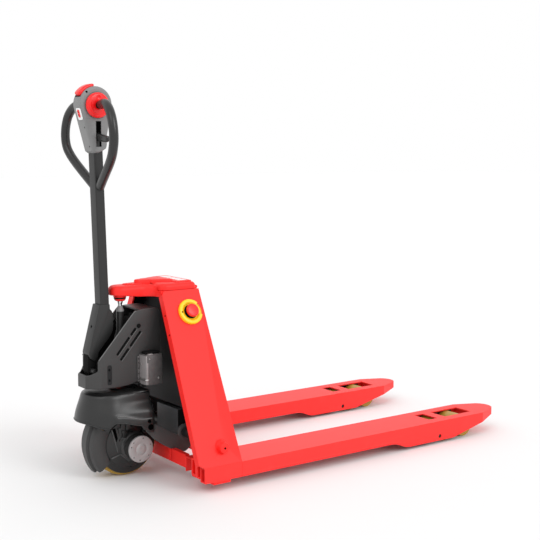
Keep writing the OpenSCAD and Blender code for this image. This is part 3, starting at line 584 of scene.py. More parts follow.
SLOTS = [(-274, 394, -230, 446), (-225, 452, -207, 473), (-262, 377, -233, 411), (-228, 417, -190, 462)]
outer = bevelled(cut(prism("cover", outline, -60, 60), *corner_wedges(-380, -366, -331, 27, 60, 600)), 5, 4,
                 24)
hollow = [(-361.5, 300), (-361.5, 700), (-191, 700), (-191, 525), (-132, 525), (-128, 515), (-128, 309),
          (-230, 300)]
room = cut(prism("room", hollow, -55, 55), *corner_wedges(-390, -362, -327, 25, 57, 800))
cuts = [room, rod("axis_hole", (STEER, 0, 280), (0, 0, 1), 20, 0, 20, 40)]
for s in (-1, 1):
    ya, yb = span(s, 53, 62)
    for (x0, z0, x1, z1) in SLOTS:
        d = Vector((x1 - x0, z1 - z0)).normalized()
        n = Vector((-d.y, d.x)) * 4.2
        a, b = Vector((x0, z0)), Vector((x1, z1))
        corners = [tuple(a - n), tuple(b - n), tuple(b + n), tuple(a + n)]
        cuts.append(prism("slot", rounded(corners, 3, 3), ya, yb))
    cuts.append(rod("recess", (-197, s * 58.6, 479), (0, s, 0), 8, 0, 4, 32))
    cuts.append(prism("oblong", oblong(0), *span(s, 58.2, 62)))
cover = put("cover_shell", cut(outer, *cuts), "drive_unit", ABS, 32)
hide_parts("pump_cover")
trims = []
# the oblong floors below are near-black painted shade in the oblong recesses
for s in (-1, 1):
    put("oblong_shade_" + SIDE[s], prism("floor", oblong(0.5), *span(s, 56, 58.4)), "drive_unit", CASE)
    trims.append(lathe("boss", (-197, s * 58.2, 479), (0, s, 0),
                       [(0, 1), (3, 1), (3, .5), (6.2, .5), (6.8, 1.4)], 32))
    eyelet = [(0, 1), (2.6, 1), (2.6, 1.6), (3.4, 1.6), (3.4, 0.9)]
    trims += [lathe("hole", (-300, s * 57.4, z), (0, s, 0), eyelet, 20) for z in (318, 351)]
put("cover_trim", merge("cover_trim", *trims), "drive_unit", BLACK)
# the slope's turned edge and the slots' lower edges, as light grey tubes: painted highlight
for s in (-1, 1):
    line = [(-334, s * 57.2, 383), (-328, s * 57.6, 391), (-271, s * 57.6, 455.4), (-215, s * 57.6, 518.6),
            (-204, s * 57.2, 526)]
    edges = [tube("edge", line, 1.5, 10, 6)]
    for (x0, z0, x1, z1) in ((-274, 394, -207, 473), (-262, 377, -190, 462)):
        ends = [(x + 4.6, s * 59.7, z - 3.9) for x, z in ((x0, z0), (x1, z1))]
        edges.append(tube("edge", ends, 0.8, 8, 0))
    put("cover_edge_" + SIDE[s], merge("edge", *edges), "drive_unit", PAINTED_HIGHLIGHT)
inside = [box("block", -345, -326, -24, 24, 290, 322, 2), box("pump", -206, -140, -46, 46, 296, 470, 6),
          box("valve", -204, -186, -30, 30, 470, 500, 4),
          lathe("reservoir", (-166, 0, 468), (0, 0, 1), [(0, 0), (30, 0), (30, 38), (26, 44), (0, 44)], 40)]
# black sheets behind the side slots inside the cover: painted shade
for s in (-1, 1):
    slot_shade = [(-300, 372), (-240, 372), (-184, 470), (-188, 500), (-212, 500), (-290, 400)]
    inside.append(prism("slot_shade", slot_shade, *span(s, 50.5, 54.5)))
put("pump_inside", merge("pump_inside", *inside), "drive_unit", BLACK)

# ---------------------------------------------------------------- lift cylinder and ram
cyl = lathe("cylinder", (STEER, 0, 290), (0, 0, 1),
            [(0, 0), (19, 0), (20, 2), (20, 150), (18, 156), (13.4, 170), (12.4, 176), (12.4, 230),
             (11.4, 231), (6.9, 231), (6.9, 200)], 56)
cylinder = put("cylinder_body", cyl, "drive_unit", DARK)
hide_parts("lift_cylinder")
gland = lathe("gland", (STEER, 0, 520), (0, 0, 1),
              [(6.8, -6), (12.2, 0.4), (12.6, 1.4), (12.6, 3.6), (11.4, 6.4), (8.4, 13.4), (7.2, 17.6),
               (6.8, 18)], 48)
put("cylinder_gland", gland, "drive_unit", GREY, 50)
ram = lathe("ram", (STEER, 0, 315), (0, 0, 1),
            [(0, 0), (6.3, 0), (6.5, 1), (6.5, 226), (7.2, 230), (8.6, 233.4), (9, 236), (9, 246), (0, 246)],
            56)
ram_o = put("ram", ram, "chassis", CHROME)
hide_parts("lift_piston")
CUP = (STEER, 0, 553)
cup = lathe("thrust", CUP, (0, 0, 1), [(8.6, 6), (8.6, 1), (13, 0.6), (15.6, 2), (18.4, 6.6), (18.6, 8.6),
                                       (17, 9)], 56)
collar_top = lathe("thrust", CUP, (0, 0, 1), [(17, 12.6), (20, 13), (20.5, 14), (20.5, 17), (19.5, 19)], 56)
cup_o = put("thrust_socket", merge("thrust", cup, collar_top), "chassis", RED)
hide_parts("thrust_cup")
gasket = lathe("gasket", CUP, (0, 0, 1), [(12, 8), (18.8, 8), (19.2, 9), (19.2, 12.6), (18.8, 13.6),
                                          (12, 13.6)], 56)
put("thrust_gasket", gasket, "chassis", BLACK)

# ---------------------------------------------------------------- tiller: bracket, tube, head and loops
def lean_x(z):
    return -288 - (z - 395) * math.tan(math.radians(1.55))


sleeve = rounded([(-312, 549), (-351, 400), (-346, 386), (-331, 377), (-320, 386), (-318, 403), (-273, 454),
                  (-266, 475), (-266, 515), (-271, 529), (-277, 534), (-277, 549)],
                 [2, 6, 3, 4, 3, 5, 10, 8, 6, 4, 3, 2], 4)
sleeve_block = bevelled(prism("sleeve", sleeve, -24, 24), 2.2, 3, 40)
tongue = [(-349, 404), (-353, 362)] + ring(*TILLER_PIN, 14, 176, 364, 20) + [(-324, 392), (-330, 410)]
tongue = prism("tongue", tongue, -17, 17, bev=1.5)
cuts = [rod("front_hole", (-333, 0, 482), (-0.966, 0, 0.26), 4.6, -8, 9, 28),
        prism("throat", [(-336, 388), (-322, 392), (-320, 408), (-330, 414)], -12, 12),
        box("mouth", lean_x(545) - 15.6, lean_x(545) + 15.6, -21.6, 21.6, 520, 560, 0)]
br = put("bracket_sleeve", cut(sleeve_block, *cuts), "tiller", DARK, 35)
# the tongue in black: painted shade under the sleeve
put("bracket_tongue", tongue, "tiller", BLACK, 35)
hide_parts("tiller_bracket")
# two small bolts in the light grey colour: painted glint at the sleeve's foot
bolts = [lathe("bolt", (-343, s * 9, 391), (-0.7, 0, 0.7), [(0, 1.6), (1.8, 1.6), (2.2, 1), (2.2, 0)], 6)
         for s in (-1, 1)]
put("bracket_hardware", merge("bracket_hardware", *bolts), "tiller", PAINTED_HIGHLIGHT)
shaft = [lathe("pin_end", (TILLER_PIN[0], s * 24, TILLER_PIN[1]), (0, s, 0),
               [(8, 0), (8, 13), (7, 14), (0, 14)], 32)
         for s in (1, -1)]
shaft.append(rod("pin_middle", (TILLER_PIN[0], -25, TILLER_PIN[1]), (0, 1, 0), 8, 0, 50, 32))
pin = put("pivot_pin", merge("pivot_pin", *shaft), "drive_unit", DARK)
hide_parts("tiller_pin")
lugs = [box("lug1", -267, -259, -9, 9, 512, 518, 1), box("lug2", -267, -258, -9, 9, 484, 491, 1),
        rod("lug3", (-260, -10, 501), (0, 1, 0), 4.5, 0, 20, 24)]
put("spring_lugs", merge("spring_lugs", *lugs), "tiller", DARK)

section = rounded([(-15, -21), (15, -21), (15, 21), (-15, 21)], 4.5, 5)
column = loft("column", [[(lean_x(z) + q[0], q[1], z) for q in section] for z in (522, 700, 860, 1028)])
tube_o = put("tiller_column", column, "tiller", DARK, 30)
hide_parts("tiller_tube")

foot = 1014
HX, HZ, HW = HEAD[0], HEAD[1] + 4, 28.8
foot_x = lean_x(foot)
head_line = ring(HX, HZ, 53, -14, 190, 48)
head_line += [(foot_x - 24, foot + 6), (foot_x - 16, foot), (foot_x - 3, foot), (foot_x + 12, foot + 6),
              (foot_x + 25, foot + 14), (foot_x + 28, foot + 26), (foot_x + 28, 1064)]
head_block = layered("head", head_line, round_levels(HW, 9, 7))


def sector(r0, r1, a0, a1, w, n=16):
    return prism("sector", ring(HX, HZ, r1, a0, a1, n) + ring(HX, HZ, r0, a1, a0, n), -w, w)


def face_x(z):
    return foot_x - 23.6 - (z - foot) * 0.272


front = Vector((-0.966, 0, -0.258))
cuts = [sector(38, 80, 86, 157, 19.5),
        box("lever_slot", -316, -298, -60, -4, 1033, 1110, 0),
        box("bore", foot_x - 16, foot_x + 16, -22, 22, 1000, 1030, 0)]
for z in (1090, 1033):
    cuts.append(rod("screw", (face_x(z), -16, z), front, 2.9, -6, 6, 20))
for s in (-1, 1):
    cuts.append(rod("dish", (HX, s * (HW - 1.3), HEAD[1]), (0, s, 0), 40.5, 0, 5, 72))
    cuts.append(rod("rim_hole", (HX - 32, s * (HW - 4), HZ + 35), (0, s, 0), 3.4, 0, 8, 20))
head = put("head_shell", cut(head_block, *cuts), "tiller", GREY, 32)
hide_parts("control_head")
# near-black painted shade filling the lever slot, the screw and rim holes, and the recess under the bow
dark = [box("slot_fill", -315.9, -298.1, -HW + 3, -5, 1053, 1109.9, 0),
        box("slot_side", -303, -298.2, -HW + 2, -5, 1033.2, 1053, 0)]
put("slot_block", box("slot_block", -315.9, -304, -HW + 1.5, -5, 1033.2, 1053.2, 0.8), "tiller", DARK)
for z in (1090, 1033):
    dark.append(lathe("pit", (face_x(z), -16, z), front, [(0, -2), (2.8, -2), (2.8, -4)], 16))
dark += [lathe("pit", (HX - 32, s * (HW - 3), HZ + 35), (0, s, 0), [(0, 1), (3.3, 1), (3.3, 0)], 16)
         for s in (-1, 1)]
dark.append(sector(37.6, 39, 86, 157, 19.4))
put("head_recess_shade", merge("head_recess_shade", *dark), "tiller", HOLE_SHADE)


# label plate with a plain round-ended button
def on_front(pts, d0, d1, name, bev):
    """pts are (y, z) on the head's sloped front."""
    n = len(pts)
    verts = [(face_x(z) - d, y, z) for d in (d0, d1) for (y, z) in pts]
    faces = [list(range(n)), list(range(n, 2 * n))]
    faces += [[i, (i + 1) % n, n + (i + 1) % n, n + i] for i in range(n)]
    return bevelled(from_faces(name, verts, faces), bev, 2)


plate = on_front(rounded([(-22, 1113), (5, 1113), (5, 1148), (-22, 1148)], 6, 5), -1.5, 1.1, "plate", 0.5)
pocket = rounded([(-15.5, 1119.5), (-0.5, 1119.5), (-0.5, 1143.5), (-15.5, 1143.5)], 7.4, 6)
plate = cut(plate, on_front(pocket, -4, 4, "pocket", 0))
put("label_plate", plate, "tiller", LABEL)
button = rounded([(-14.8, 1120.2), (-1.2, 1120.2), (-1.2, 1142.8), (-14.8, 1142.8)], 6.7, 6)
horn = on_front(button, -3, 2.6, "horn", 1.2)
horn = put("horn_cap", horn, "horn", REDP)
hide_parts("horn_button")
dots = [lathe("dot", (face_x(z) - 2.4, -8, z), front, [(0, 0.5), (2.6, 0.5), (2.6, 0)], 18)
        for z in (1127, 1136)]
put("horn_dots", merge("horn_dots", *dots), "horn", BLACK)

# belly switch: a padded bow over the head's round front
stations = [(151, 51, 56, 12), (150.4, 48, 59.2, 14.6), (149, 45.6, 61, 16), (146, 45, 62, 17)]
stations += [(146 - 4.5 * i, 45 + 0.35 * i, 62 - 0.06 * i, 17) for i in range(1, 12)]
stations += [(94, 51, 60.8, 16.4), (92, 53, 60, 15), (91, 55, 59, 13)]
bow = put("belly_bow", swept("bow", HX, HZ, stations, 5.5), "belly", REDP, 50)
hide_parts("belly_switch")

# throttle paddles
for s, side in SIDE.items():
    y = s * (HW + 1.9)
    disc = lathe("disc", (HX, y, HEAD[1]), (0, s, 0),
                 [(10.2, 0), (36.4, 0), (38, 1.6), (38, 7), (36.6, 10), (33, 12.4), (27, 13.6), (20, 14.2),
                  (13, 14.4), (11.2, 13.6), (10.2, 11.5), (10.2, 0)], 96)
    scoop = lathe("scoop", (HX - 1, y + s * 19.5, HEAD[1] + 23), (0, s, 0),
                  [(0, -9), (5, -8.2), (8.6, -5.6), (10.4, -2), (10.8, 6), (0, 6)], 32)
    crest = [(x, y + s * 13.0, z) for x, z in (around(HX, HEAD[1], 27.5, a) for a in range(140, 281, 14))]
    ridge = tube("ridge", crest, lambda t: 1.2 + 1.8 * math.sin(math.pi * t), 12, 4)
    paddle = put("paddle_" + side, merge("paddle", cut(disc, scoop), ridge), "throttle", REDP,
                 40)
    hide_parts("throttle_" + side)

    # loop handle: steel bar with a soft sleeve
    path = [(HX, s * 34, HEAD[1]), (HX, s * 50, HEAD[1]), (HX - 1.5, s * 62, HEAD[1] + 1),
            (-316, s * 78, 1160), (-319, s * 100, 1159), (-322, s * 122, 1149), (-325, s * 143, 1130),
            (-326.5, s * 157, 1105), (-327, s * 164, 1078), (-326.5, s * 164, 1052), (-325, s * 156, 1028),
            (-321, s * 139, 1005), (-316, s * 112, 981), (-311, s * 80, 957), (-306, s * 50, 935),
            (-302, s * 27, 918), (-301, s * 21.5, 913.5)]
    bar = tube("bar", path, lambda t: 9.7 if t < 0.06 else min(14.0, 9.7 + (t - 0.06) * 60), 28, 6)
    loop = put("loop_" + side, bar, "tiller", RUB, 60)
    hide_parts("handle_loop_" + side)

# lift lever in the right side slot
pad = [(x, y, z) for x in (-314.5, -300.5)
       for (y, z) in ((-22, 1053), (-22, 1075), (-92, 1064), (-92, 1048))]
lever = [tube("stem", [(-308, -8, 1074), (-308, -30, 1068)], 6.2, 16, 4),
         bevelled(from_faces("pad", pad, HEXAHEDRON), 3.5, 3)]
lever += [tube("rib", [(x, y, 1052.4 + (y + 22) * 0.08) for x in (-313.5, -301.5)], 1.5, 8, 0)
          for y in (-78, -68, -58, -48)]
lever_o = put("lift_handle", merge("lift_handle", *lever), "lever", RUB, 40)
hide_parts("lift_lever")

# ---------------------------------------------------------------- drive unit under the dome
MX, MZ = STEER + 18, 95.0


def arc_band(name, angles, section):
    """The (radius, y) section of each angle swept about the wheel axle."""
    sections = []
    for a in angles:
        c, s = math.cos(math.radians(a)), math.sin(math.radians(a))
        sections.append([(STEER + r * c, y, AXLE_Z + r * s) for (r, y) in section(a)])
    return loft(name, sections)


def guard_section(a):
    low = smooth((a - 205) / 18)          # the sides sweep back towards the tip
    deep = 78 + 8 * low
    return [(deep, -41.5), (deep + 2, -42.5), (114, -41.5), (122, -38.5), (125.5, -33), (125.5, -17),
            (127, -15.5), (131.5, -14.5), (133, -12.5), (133, 12.5), (131.5, 14.5), (127, 15.5), (125.5, 17),
            (125.5, 33), (123, 36.5), (116, 38), (deep, 38), (deep, 34.5), (113, 34.5), (113, -37.5),
            (deep, -37.5)]


guard = arc_band("guard", [148 + 3 * i for i in range(24)] + [219.2], guard_section)
guard_o = put("guard_shell", guard, "drive_unit", ABS, 35)
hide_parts("foot_guard")

disc = lathe("disc", (STEER, -33, AXLE_Z), (0, -1, 0),
             [(18, 0), (94, 0), (96, 1), (96.6, 2.4), (96, 3.6), (80, 4.2), (78, 5.4), (76, 8), (70, 9),
              (50, 11.5), (30, 16), (24, 18.5), (23, 22), (21, 23), (0, 23)], 96)
RIBS = [((-289, 158), (-269, 83), -34, -47.5), ((-291, 66), (-259, 75), -34, -47),
        ((-259, 75), (-229, 48), -36, -47), ((-262, 124), (-240, 118), -40, -50)]
ribs = []
for (x0, z0), (x1, z1), y0, y1 in RIBS:
    d = Vector((x1 - x0, 0, z1 - z0)).normalized() * 2
    line = [(x0 + d.z, z0 - d.x), (x0 - d.z, z0 + d.x), (x1 - d.z, z1 + d.x), (x1 + d.z, z1 - d.x)]
    ribs.append(bevelled(prism("rib", line, y1, y0), 1.1, 2))
ribs.append(bevelled(prism("pad", [(-268, 160), (-252, 84), (-240, 74), (-226, 92), (-236, 160)], -47, -38),
                     1.2, 2))
ribs.append(bevelled(prism("pad", [(-258, 152), (-252, 128), (-236, 124), (-232, 146)], -53, -46), 1.5, 2))
BOLTS = [around(STEER, AXLE_Z, 66, a) for a in (30, 75, 318)]
for x, z in BOLTS:
    ribs.append(lathe("pad", (x, -40, z), (0, -1, 0), [(8, 0), (7.4, 5.5), (6.6, 6), (0, 6)], 28))
put("housing_ribs", merge("housing_ribs", *ribs[:3]), "drive_unit", ARM_WITH_PAINTED_LIGHT)
housing = [disc] + ribs[3:]
web = [(STEER - 34, 118), (STEER - 20, 212), (STEER + 34, 212), (STEER + 46, 150), (STEER + 20, 118)]
housing.append(bevelled(prism("web", web, -48, -33), 3, 3))
reach = [(STEER - 12, 150), (STEER - 16, 205), (STEER + 22, 205), (STEER + 30, 160)]
housing.append(bevelled(prism("reach", reach, -56, -46), 2.5, 3))
housing_o = put("gear_housing", merge("gear_housing", *housing), "drive_unit", CAST, 35)
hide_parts("drive_housing")
socket = [(4.4, 0), (4.4, 2.6), (3.8, 3.2), (2.2, 3.2), (2.2, 1), (0, 1)]
hexagon = [(4.6, 0), (4.6, 3), (3.8, 3.8), (2.4, 3.8), (2.4, 1), (0, 1)]
bolts = [lathe("bolt", (x, -46, z), (0, -1, 0), socket, 20) for x, z in BOLTS]
bolts += [lathe("bolt", (x, -56, z), (0, -1, 0), hexagon, 6)
          for x, z in ((STEER - 6, 192), (STEER + 14, 192), (STEER + 4, 166))]
put("housing_bolts", merge("housing_bolts", *bolts), "drive_unit", BLACK)
# near-black painted shade inside the housing's holes and groove
pits = []
for x, y, z, r in ((-260, -47.2, 120, 3.4), (-247, -47.2, 82, 3.4), (-221, -39, 38, 4.2),
                   (-222, -39, 31, 3.4)):
    rim = [(0, 0), (r, 0), (r, 0.8), (r + 1.2, 0.8), (r + 1.2, -2), (0, -2)]
    pits.append(lathe("pit", (x, y, z), (0, -1, 0), rim, 24))
pits.append(bevelled(prism("groove", [(-284, 158), (-276, 160), (-258, 82), (-265, 80)], -45.8, -38), 0.6,
                     2))
put("housing_pits", merge("housing_pits", *pits), "drive_unit", HOLE_SHADE)

barrel = lathe("barrel", (MX, -46, MZ), (0, -1, 0),
               [(47, 0), (47, 4), (44, 7), (41, 9), (41, 34), (42, 36), (42.6, 37), (42.6, 41)], 72)
barrel_o = put("motor_barrel", barrel, "drive_unit", ABS, 35)
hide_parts("drive_motor")
cap = lathe("cap", (MX, -86, MZ), (0, -1, 0),
            [(40, 0), (42.2, 0.6), (42.6, 2), (42.6, 5.6), (41.6, 7.6), (40, 8.1), (20.4, 8.1), (19.4, 7.5),
             (18, 7.4), (16.8, 8), (15.6, 8.8), (6, 9), (0, 9)], 96)
SCREWS = [around(MX, MZ, 35, a) for a in (18, 78, 138, 163, 222, 262, 318)]
holes = [rod("hole", (x, -96, z), (0, 1, 0), 2.1, 0, 5, 18) for x, z in SCREWS]
cap_o = put("cap_disc", cut(cap, *holes), "drive_unit", CAP, 35)
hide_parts("motor_cap")
# black discs at the bottom of the cap's screw holes: painted shade
pits = [lathe("pit", (x, -91.4, z), (0, -1, 0), [(0, 0.4), (2, 0.4), (2, 0)], 14) for x, z in SCREWS]
put("cap_pits", merge("cap_pits", *pits), "drive_unit", BLACK)

tyre = lathe("tyre", (STEER, 0, AXLE_Z), (0, 1, 0),
             [(79, -29), (80, -29.6), (98, -29.6), (101.5, -28.6), (104, -26), (105, -22), (105, 22),
              (104, 26), (101.5, 28.6), (98, 29.6), (80, 29.6), (79, 29)], 128)
tyre_o = put("tyre_band", tyre, "drive_wheel", PU, 30)
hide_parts("drive_tyre")
cheek = [(STEER - 36, 214), (STEER - 34, 176)] + ring(STEER, AXLE_Z, 26, 188, 352, 20)
cheek += [(STEER + 34, 176), (STEER + 36, 214)]
bearing = [(0, 0), (48, 0), (48, 7), (44, 9), (30, 9), (30, 66), (0, 66)]
steerplate = [lathe("bearing", (STEER, 0, 214), (0, 0, 1), bearing, 56),
              bevelled(prism("cheek", cheek, 32, 40), 1.5, 2),
              box("yoke", STEER - 40, STEER + 40, -50, 40, 206, 214, 2)]
column = put("steering_fork", merge("steering_fork", *steerplate), "drive_unit", CAST, 35)
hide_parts("steering_column")
axle = [(0, -72), (10, -72), (10, 0), (16, 0), (16, 3), (13, 4), (7, 4), (7, 8), (0, 8)]
axle = lathe("axle", (STEER, 40, AXLE_Z), (0, 1, 0), axle, 32)
axle_o = put("axle_nut", axle, "drive_unit", STEEL, 35)
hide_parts("wheel_axle")

# ---------------------------------------------------------------- rocker arms, curved, with a turned edge
top = [(-206, 176), (-198, 184), (-184, 183), (-164, 169), (-148, 159), (-132, 149), (-112, 137), (-91, 126),
       (-75, 120), (-55, 116), (-40, 113)]
low = [(-38, 84), (-49, 73), (-60, 67), (-72, 68), (-85, 72), (-108, 81), (-124, 90), (-140, 100),
       (-154, 110), (-167, 119), (-184, 136), (-200, 152)]
arm_line = [(q.x, q.y) for edge in (top, low) for q in catmull([(a, b, 0) for a, b in edge], 3)]
for s, side in SIDE.items():
    ya, yb = span(s, 101, 107)
    blade = bevelled(prism("arm", arm_line, ya, yb), 1.4, 3, 60)
    rim = tube("rim", [(x, s * 104.6, z - 2.4) for x, z in top[2:]], 2.4, 10, 4)
    rim2 = tube("rim", [(x, s * 104.6, z + 2.4) for x, z in low[1:-1]], 2.4, 10, 4)
    hub = [(16, 0), (25, 0), (26, 1), (26, 11), (24, 12.5), (16, 12.5)]
    hub = lathe("hub", (ROCKER[0], s * 96, ROCKER[1]), (0, s, 0), hub, 48)
    o = put("rocker_plate_" + side, merge("rocker_plate", blade, rim, rim2, hub), "rocker", ARM_WITH_PAINTED_LIGHT, 40)
    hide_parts("rocker_arm_" + side)

# ---------------------------------------------------------------- painted shade inside the fork channels: thin dark sheets
WELL = [(700, 22), (896, 22), (1034, 54), (1034, 74.6), (700, 74.6)]
for s, side in SIDE.items():
    wells = [prism("well", WELL, s * FORK_MID + a, s * FORK_MID + b)
             for a, b in ((-70.8, -70.3), (70.3, 70.8))]
    put("channel_shade_" + side, merge("wells", *wells), "chassis", DARK)

# ---------------------------------------------------------------- top deck, lid, stop switch
LEAN = math.atan2(HALF_SPAN - 96, 586 - 80)

nose = ring(-231, 0, 36, 90, 270, 28)
nose += ring(-174, -76, 40, 90, 8, 12) + ring(-174, 76, 40, -8, -90, 12)
deck_top = layered("deck", nose, [(565.5, -3), (566.5, -1), (569, 0), (588, 0), (593, -0.8), (597.5, -3.2),
                                  (601, -7.4), (603, -13)], "xy")
for v in deck_top.vertices:
    x = v.co.x * 1000 + X0
    if v.co.z < 0.572:
        v.co.z += 0.008 * smooth((-200 - x) / 40)
tread = layered("step", ring(-166, 0, 12, 90, 270, 14) + [(-150, -17), (-135, -25), (-135, 25), (-150, 17)],
              [(600, 0), (612, 0), (614.4, -0.8), (616, -2.2), (616.8, -4.4)], "xy")
mound = layered("mound", ring(-205, 0, 14, 90, 270, 14) + [(-180, -16), (-160, -20), (-160, 20), (-180, 16)],
              [(600, 0), (604.6, 0), (606, -0.8), (606.8, -2.6)], "xy")
apron = merge("apron", box("apron", -134.5, -127, -94, 94, 566, 585.6, 1),
              box("apron2", -130, -1, -92, 92, 572, 585.4, 1))
deck = put("deck_skin", merge("deck", deck_top, tread, mound, apron), "chassis", RED, 28)
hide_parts("top_deck")

lid_plan = rounded([(-133.8, -94.5), (-4, -94.5), (-4, 94.5), (-133.8, 94.5)], [34, 20, 20, 34], 9)
lid = layered("lid", lid_plan, [(586.6, -1), (587.6, 0), (596, 0), (600.6, -1), (604, -3.4), (606.8, -7.4),
                                (608.2, -13)], "xy")
ramp = layered("ramp", [(-133.6, -25), (-108, -40), (-84, -50), (-64, -52), (-64, 52), (-84, 50), (-108, 40),
                        (-133.6, 25)],
             [(603, 0), (611, 0), (613.6, -1), (615.4, -3), (616.2, -5.4)], "xy")
panel = rounded([(-76, -80), (-12, -80), (-12, 80), (-76, 80)], 12, 6)
panel = layered("panel", panel, [(605.5, 0), (609.6, -0.4), (611.4, -2), (612, -4.4)], "xy")
lid_parts = [lid, ramp, panel]
knuckle = [(3.1, 0), (5.8, 0), (6, 0.5), (6, 28.7), (5.6, 29.2), (3.1, 29.2)]
for s in (-1, 1):
    lid_parts.append(lathe("knuckle", (6, s * 40.4, 588), (0, s, 0), knuckle, 28))
    lid_parts.append(box("leaf", -6, 6, *span(s, 41, 69), 590, 594, 0.8))
lid_o = put("lid_skin", merge("lid", *lid_parts), "lid", RED, 28)
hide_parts("battery_lid")
# four plain pale panels, no lettering
decal = [prism("decal", rounded([(-56, y0), (-24, y0), (-24, y1), (-56, y1)], 3, 3), 611.6, 612.5, "xy")
         for y0, y1 in ((-64, -40), (-32, -4), (4, 22), (30, 60))]
put("lid_decal", merge("lid_decal", *decal), "lid", LABEL)


def on_right_plate(x, slant, out):
    """A point on the right side plate's outer face: x, distance up the slope, height off it."""
    y = HALF_SPAN - slant * math.sin(LEAN)
    return Vector((x, -y - out * math.cos(LEAN), 80 + slant * math.cos(LEAN) + out * math.sin(LEAN)))


def plate_mesh(mesh, x, slant):
    """Moves a mesh drawn about the origin (x right, y up the slope, z out) onto the right plate."""
    ex, es = Vector((1, 0, 0)), Vector((0, math.sin(LEAN), math.cos(LEAN)))
    eo = Vector((0, -math.cos(LEAN), math.sin(LEAN)))
    base = on_right_plate(x, slant, 0)
    for v in mesh.vertices:
        q = v.co * 1000 + Vector((X0, 0, 0))
        v.co = P(*(base + ex * q.x + es * q.y + eo * q.z))
    mesh.update()
    return mesh


STOP = (-53, 487)     # x and distance up the slope
STOP_EYE = -32.5      # small screw in the collar
UP = (0, 0, 1)
collar = lathe("collar", (0, 0, 0), UP,
               [(9.2, 0.3), (39.5, 0.3), (41, 1.5), (41, 6.5), (39.6, 9.6), (36, 11.6), (32.6, 12),
                (29.4, 11), (27, 8.6), (25.6, 6.2), (24, 5.4), (9.2, 5.4)], 96)
gate = prism("gate", [(0, 0)] + ring(0, 0, 60, -20, 42, 12), 3.2, 20, "xy")
eye = rod("eye", (STOP_EYE, 0, 6), (0, 0, 1), 3.2, 0, 10, 20)
collar_o = put("stop_collar", plate_mesh(cut(collar, gate, eye), *STOP), "chassis", YELLOW, 35)
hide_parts("e_stop_ring")
screw = lathe("screw", (STOP_EYE, 0, 5), UP, [(0, 2.6), (1, 1.8), (3, 2.6), (3, 0)], 20)
put("stop_screw", plate_mesh(screw, *STOP), "chassis", BLACK)
# a black disc in the collar's well round the knob: painted shade
well = lathe("well", (0, 0, 0), UP, [(9.3, 5.6), (22, 5.6), (22.6, 6.2)], 64)
put("stop_well", plate_mesh(well, *STOP), "chassis", BLACK, 40)
knob = lathe("knob", (0, 0, 0), UP, [(0, 5.8), (8.7, 5.8), (8.7, 10.4), (13, 10.6), (18, 12.4), (20.4, 15),
                                     (21.4, 18.6), (21, 21.6), (19.4, 23.2), (16, 24), (0, 24.4)], 64)
knob_o = put("stop_knob", plate_mesh(knob, *STOP), "stop_button", REDP, 35)
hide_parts("e_stop_button")

# flange holes and greasing holes in the bosses, their insides near-black discs of painted shade
PLATE_Y = HALF_SPAN - 50 * math.tan(LEAN)      # side plate's outer face at the rocker shaft
dots = []
for s in (-1, 1):
    for sl in (481, 418):
        q = on_right_plate(-150, sl, 0)
        fx = -150 + (sl - 40) * 15 / 515
        dots.append(lathe("dot", (fx + 0.6, s * (abs(q.y) - 11), q.z), (-1, 0, 0),
                          [(0, 0.8), (2.6, 0.8), (2.6, 0)], 16))
    dots.append(lathe("dot", (ROCKER[0], s * (PLATE_Y + 21.4), ROCKER[1]), (0, s, 0),
                      [(0, 1), (3.4, 1), (3.4, 0)], 16))
put("frame_holes", merge("frame_holes", *dots), "chassis", HOLE_SHADE)
boss = [(12.2, 0), (21, 0), (20.4, 8), (18.2, 12), (17, 14), (17, 28), (15.6, 30.2), (13, 31), (3, 31),
        (2.6, 30), (2.6, 28), (0, 28)]
bosses = [lathe("boss", (ROCKER[0], s * (PLATE_Y - 9), ROCKER[1]), (0, s, 0), boss, 48) for s in (-1, 1)]
bosses_o = put("boss_caps", merge("boss_caps", *bosses), "chassis", RED, 35)
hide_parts("pivot_bosses")

# near-black sheets behind the rocker and inside the side plates: painted shade
shade_sheets = [prism("rear", [(-316, 104), (316, 104), (92, 556), (-92, 556)], -8.6, -7.8, "yz")]
flank = [(-122, 327, 104), (-9, 327, 104), (-9, 97, 556), (-122, 97, 556)]
shade_sheets += [from_faces("side", [(x, s * (y - t), z) for t in (0, 0.6) for (x, y, z) in flank], HEXAHEDRON)
           for s in (-1, 1)]
put("inner_shade_sheets", merge("inner_shade_sheets", *shade_sheets), "chassis", BLACK)

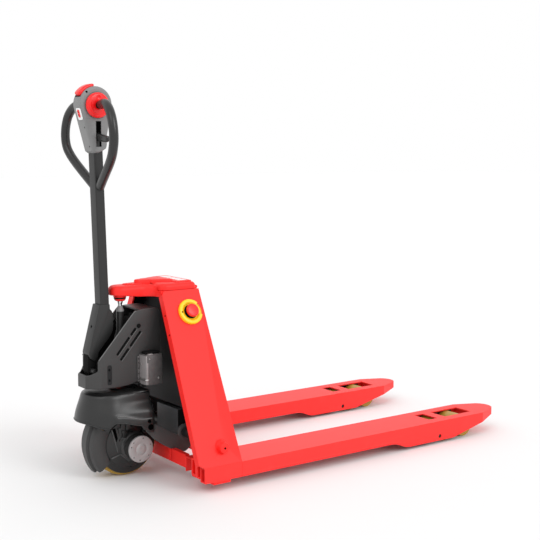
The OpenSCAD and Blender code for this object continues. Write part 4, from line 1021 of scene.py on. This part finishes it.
# ---------------------------------------------------------------- control unit on the right cheek
plan = [(-192, -98), (-138, -98), (-134, -94), (-134, -60.4), (-197, -60.4)]
unit = [bevelled(prism("unit", plan, 295, 391, "xy"), 1.6, 2), box("lid", -187, -137.5, -99.4, -97.5, 299,
        387, 0.8)]
strip = box("strip", -205, -196.5, -65.5, -60.5, 304, 384, 0.6)
holes = [rod("hole", (-201.4, -70, z), (0, 1, 0), 2.7, 0, 12, 18) for z in (312, 329, 346, 363, 376)]
unit_o = put("control_box", merge("control_box", *unit, cut(strip, *holes)), "drive_unit", ALU, 30)
# the control box's front face, ridge and shelf in the lighter aluminium: painted light
plan = [(-197.9, -61), (-193.2, -98), (-190.5, -98.9), (-190.5, -96), (-195, -61)]
fronts = [bevelled(prism("front_face", plan, 297, 388, "xy"), 0.5, 2),
          box("ridge", -192.4, -186.5, -100.2, -97, 298, 366, 0.8),
          box("shelf", -184, -168, -97, -82, 389, 393, 0.8)]
put("control_box_front", merge("front", *fronts), "drive_unit", ALU_WITH_PAINTED_LIGHT, 30)
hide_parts("control_unit")
fit = [lathe("screw", (x, -99.2, z), (0, -1, 0), [(r, 0), (r, 1.2), (r - 1, 2), (0, 2)], 20)
       for x, z, r in ((-150, 316, 3.6), (-182, 378, 2.2))]
fit.append(lathe("screw", (-196.6, -72, 360), (-1, 0, -0.13), [(3.2, -1), (3.2, 1.4), (2, 2), (0, 2)], 18))
latch = [(-199.5, -61, 314), (-198.4, -78, 313), (-195.6, -96, 312.5), (-191, -101.2, 312.5),
         (-187, -101.4, 313)]
fit.append(tube("latch", latch, 2.8, 12, 4))
put("control_box_fittings", merge("fittings", *fit), "drive_unit", STEEL, 35)
plugs = [box("harness", -190, -140, -88, -61, 390, 399, 3),
         lathe("plug", (-186, -70, 296), (0, 0, -1), [(0, 0), (8, 0), (8, 6), (6, 9), (0, 9)], 24),
         rod("plug", (-201, -64, 300), (0, 0, -1), 4, 0, 10, 16)]
put("control_box_plug", merge("plugs", *plugs), "drive_unit", BLACK, 40)
# a black sheet on the near side of the lower box: painted shade
put("box_flank_shade", box("box_flank_shade", -81, -21, -98.9, -98.2, 119, 203, 0), "chassis", BLACK)

low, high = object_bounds()
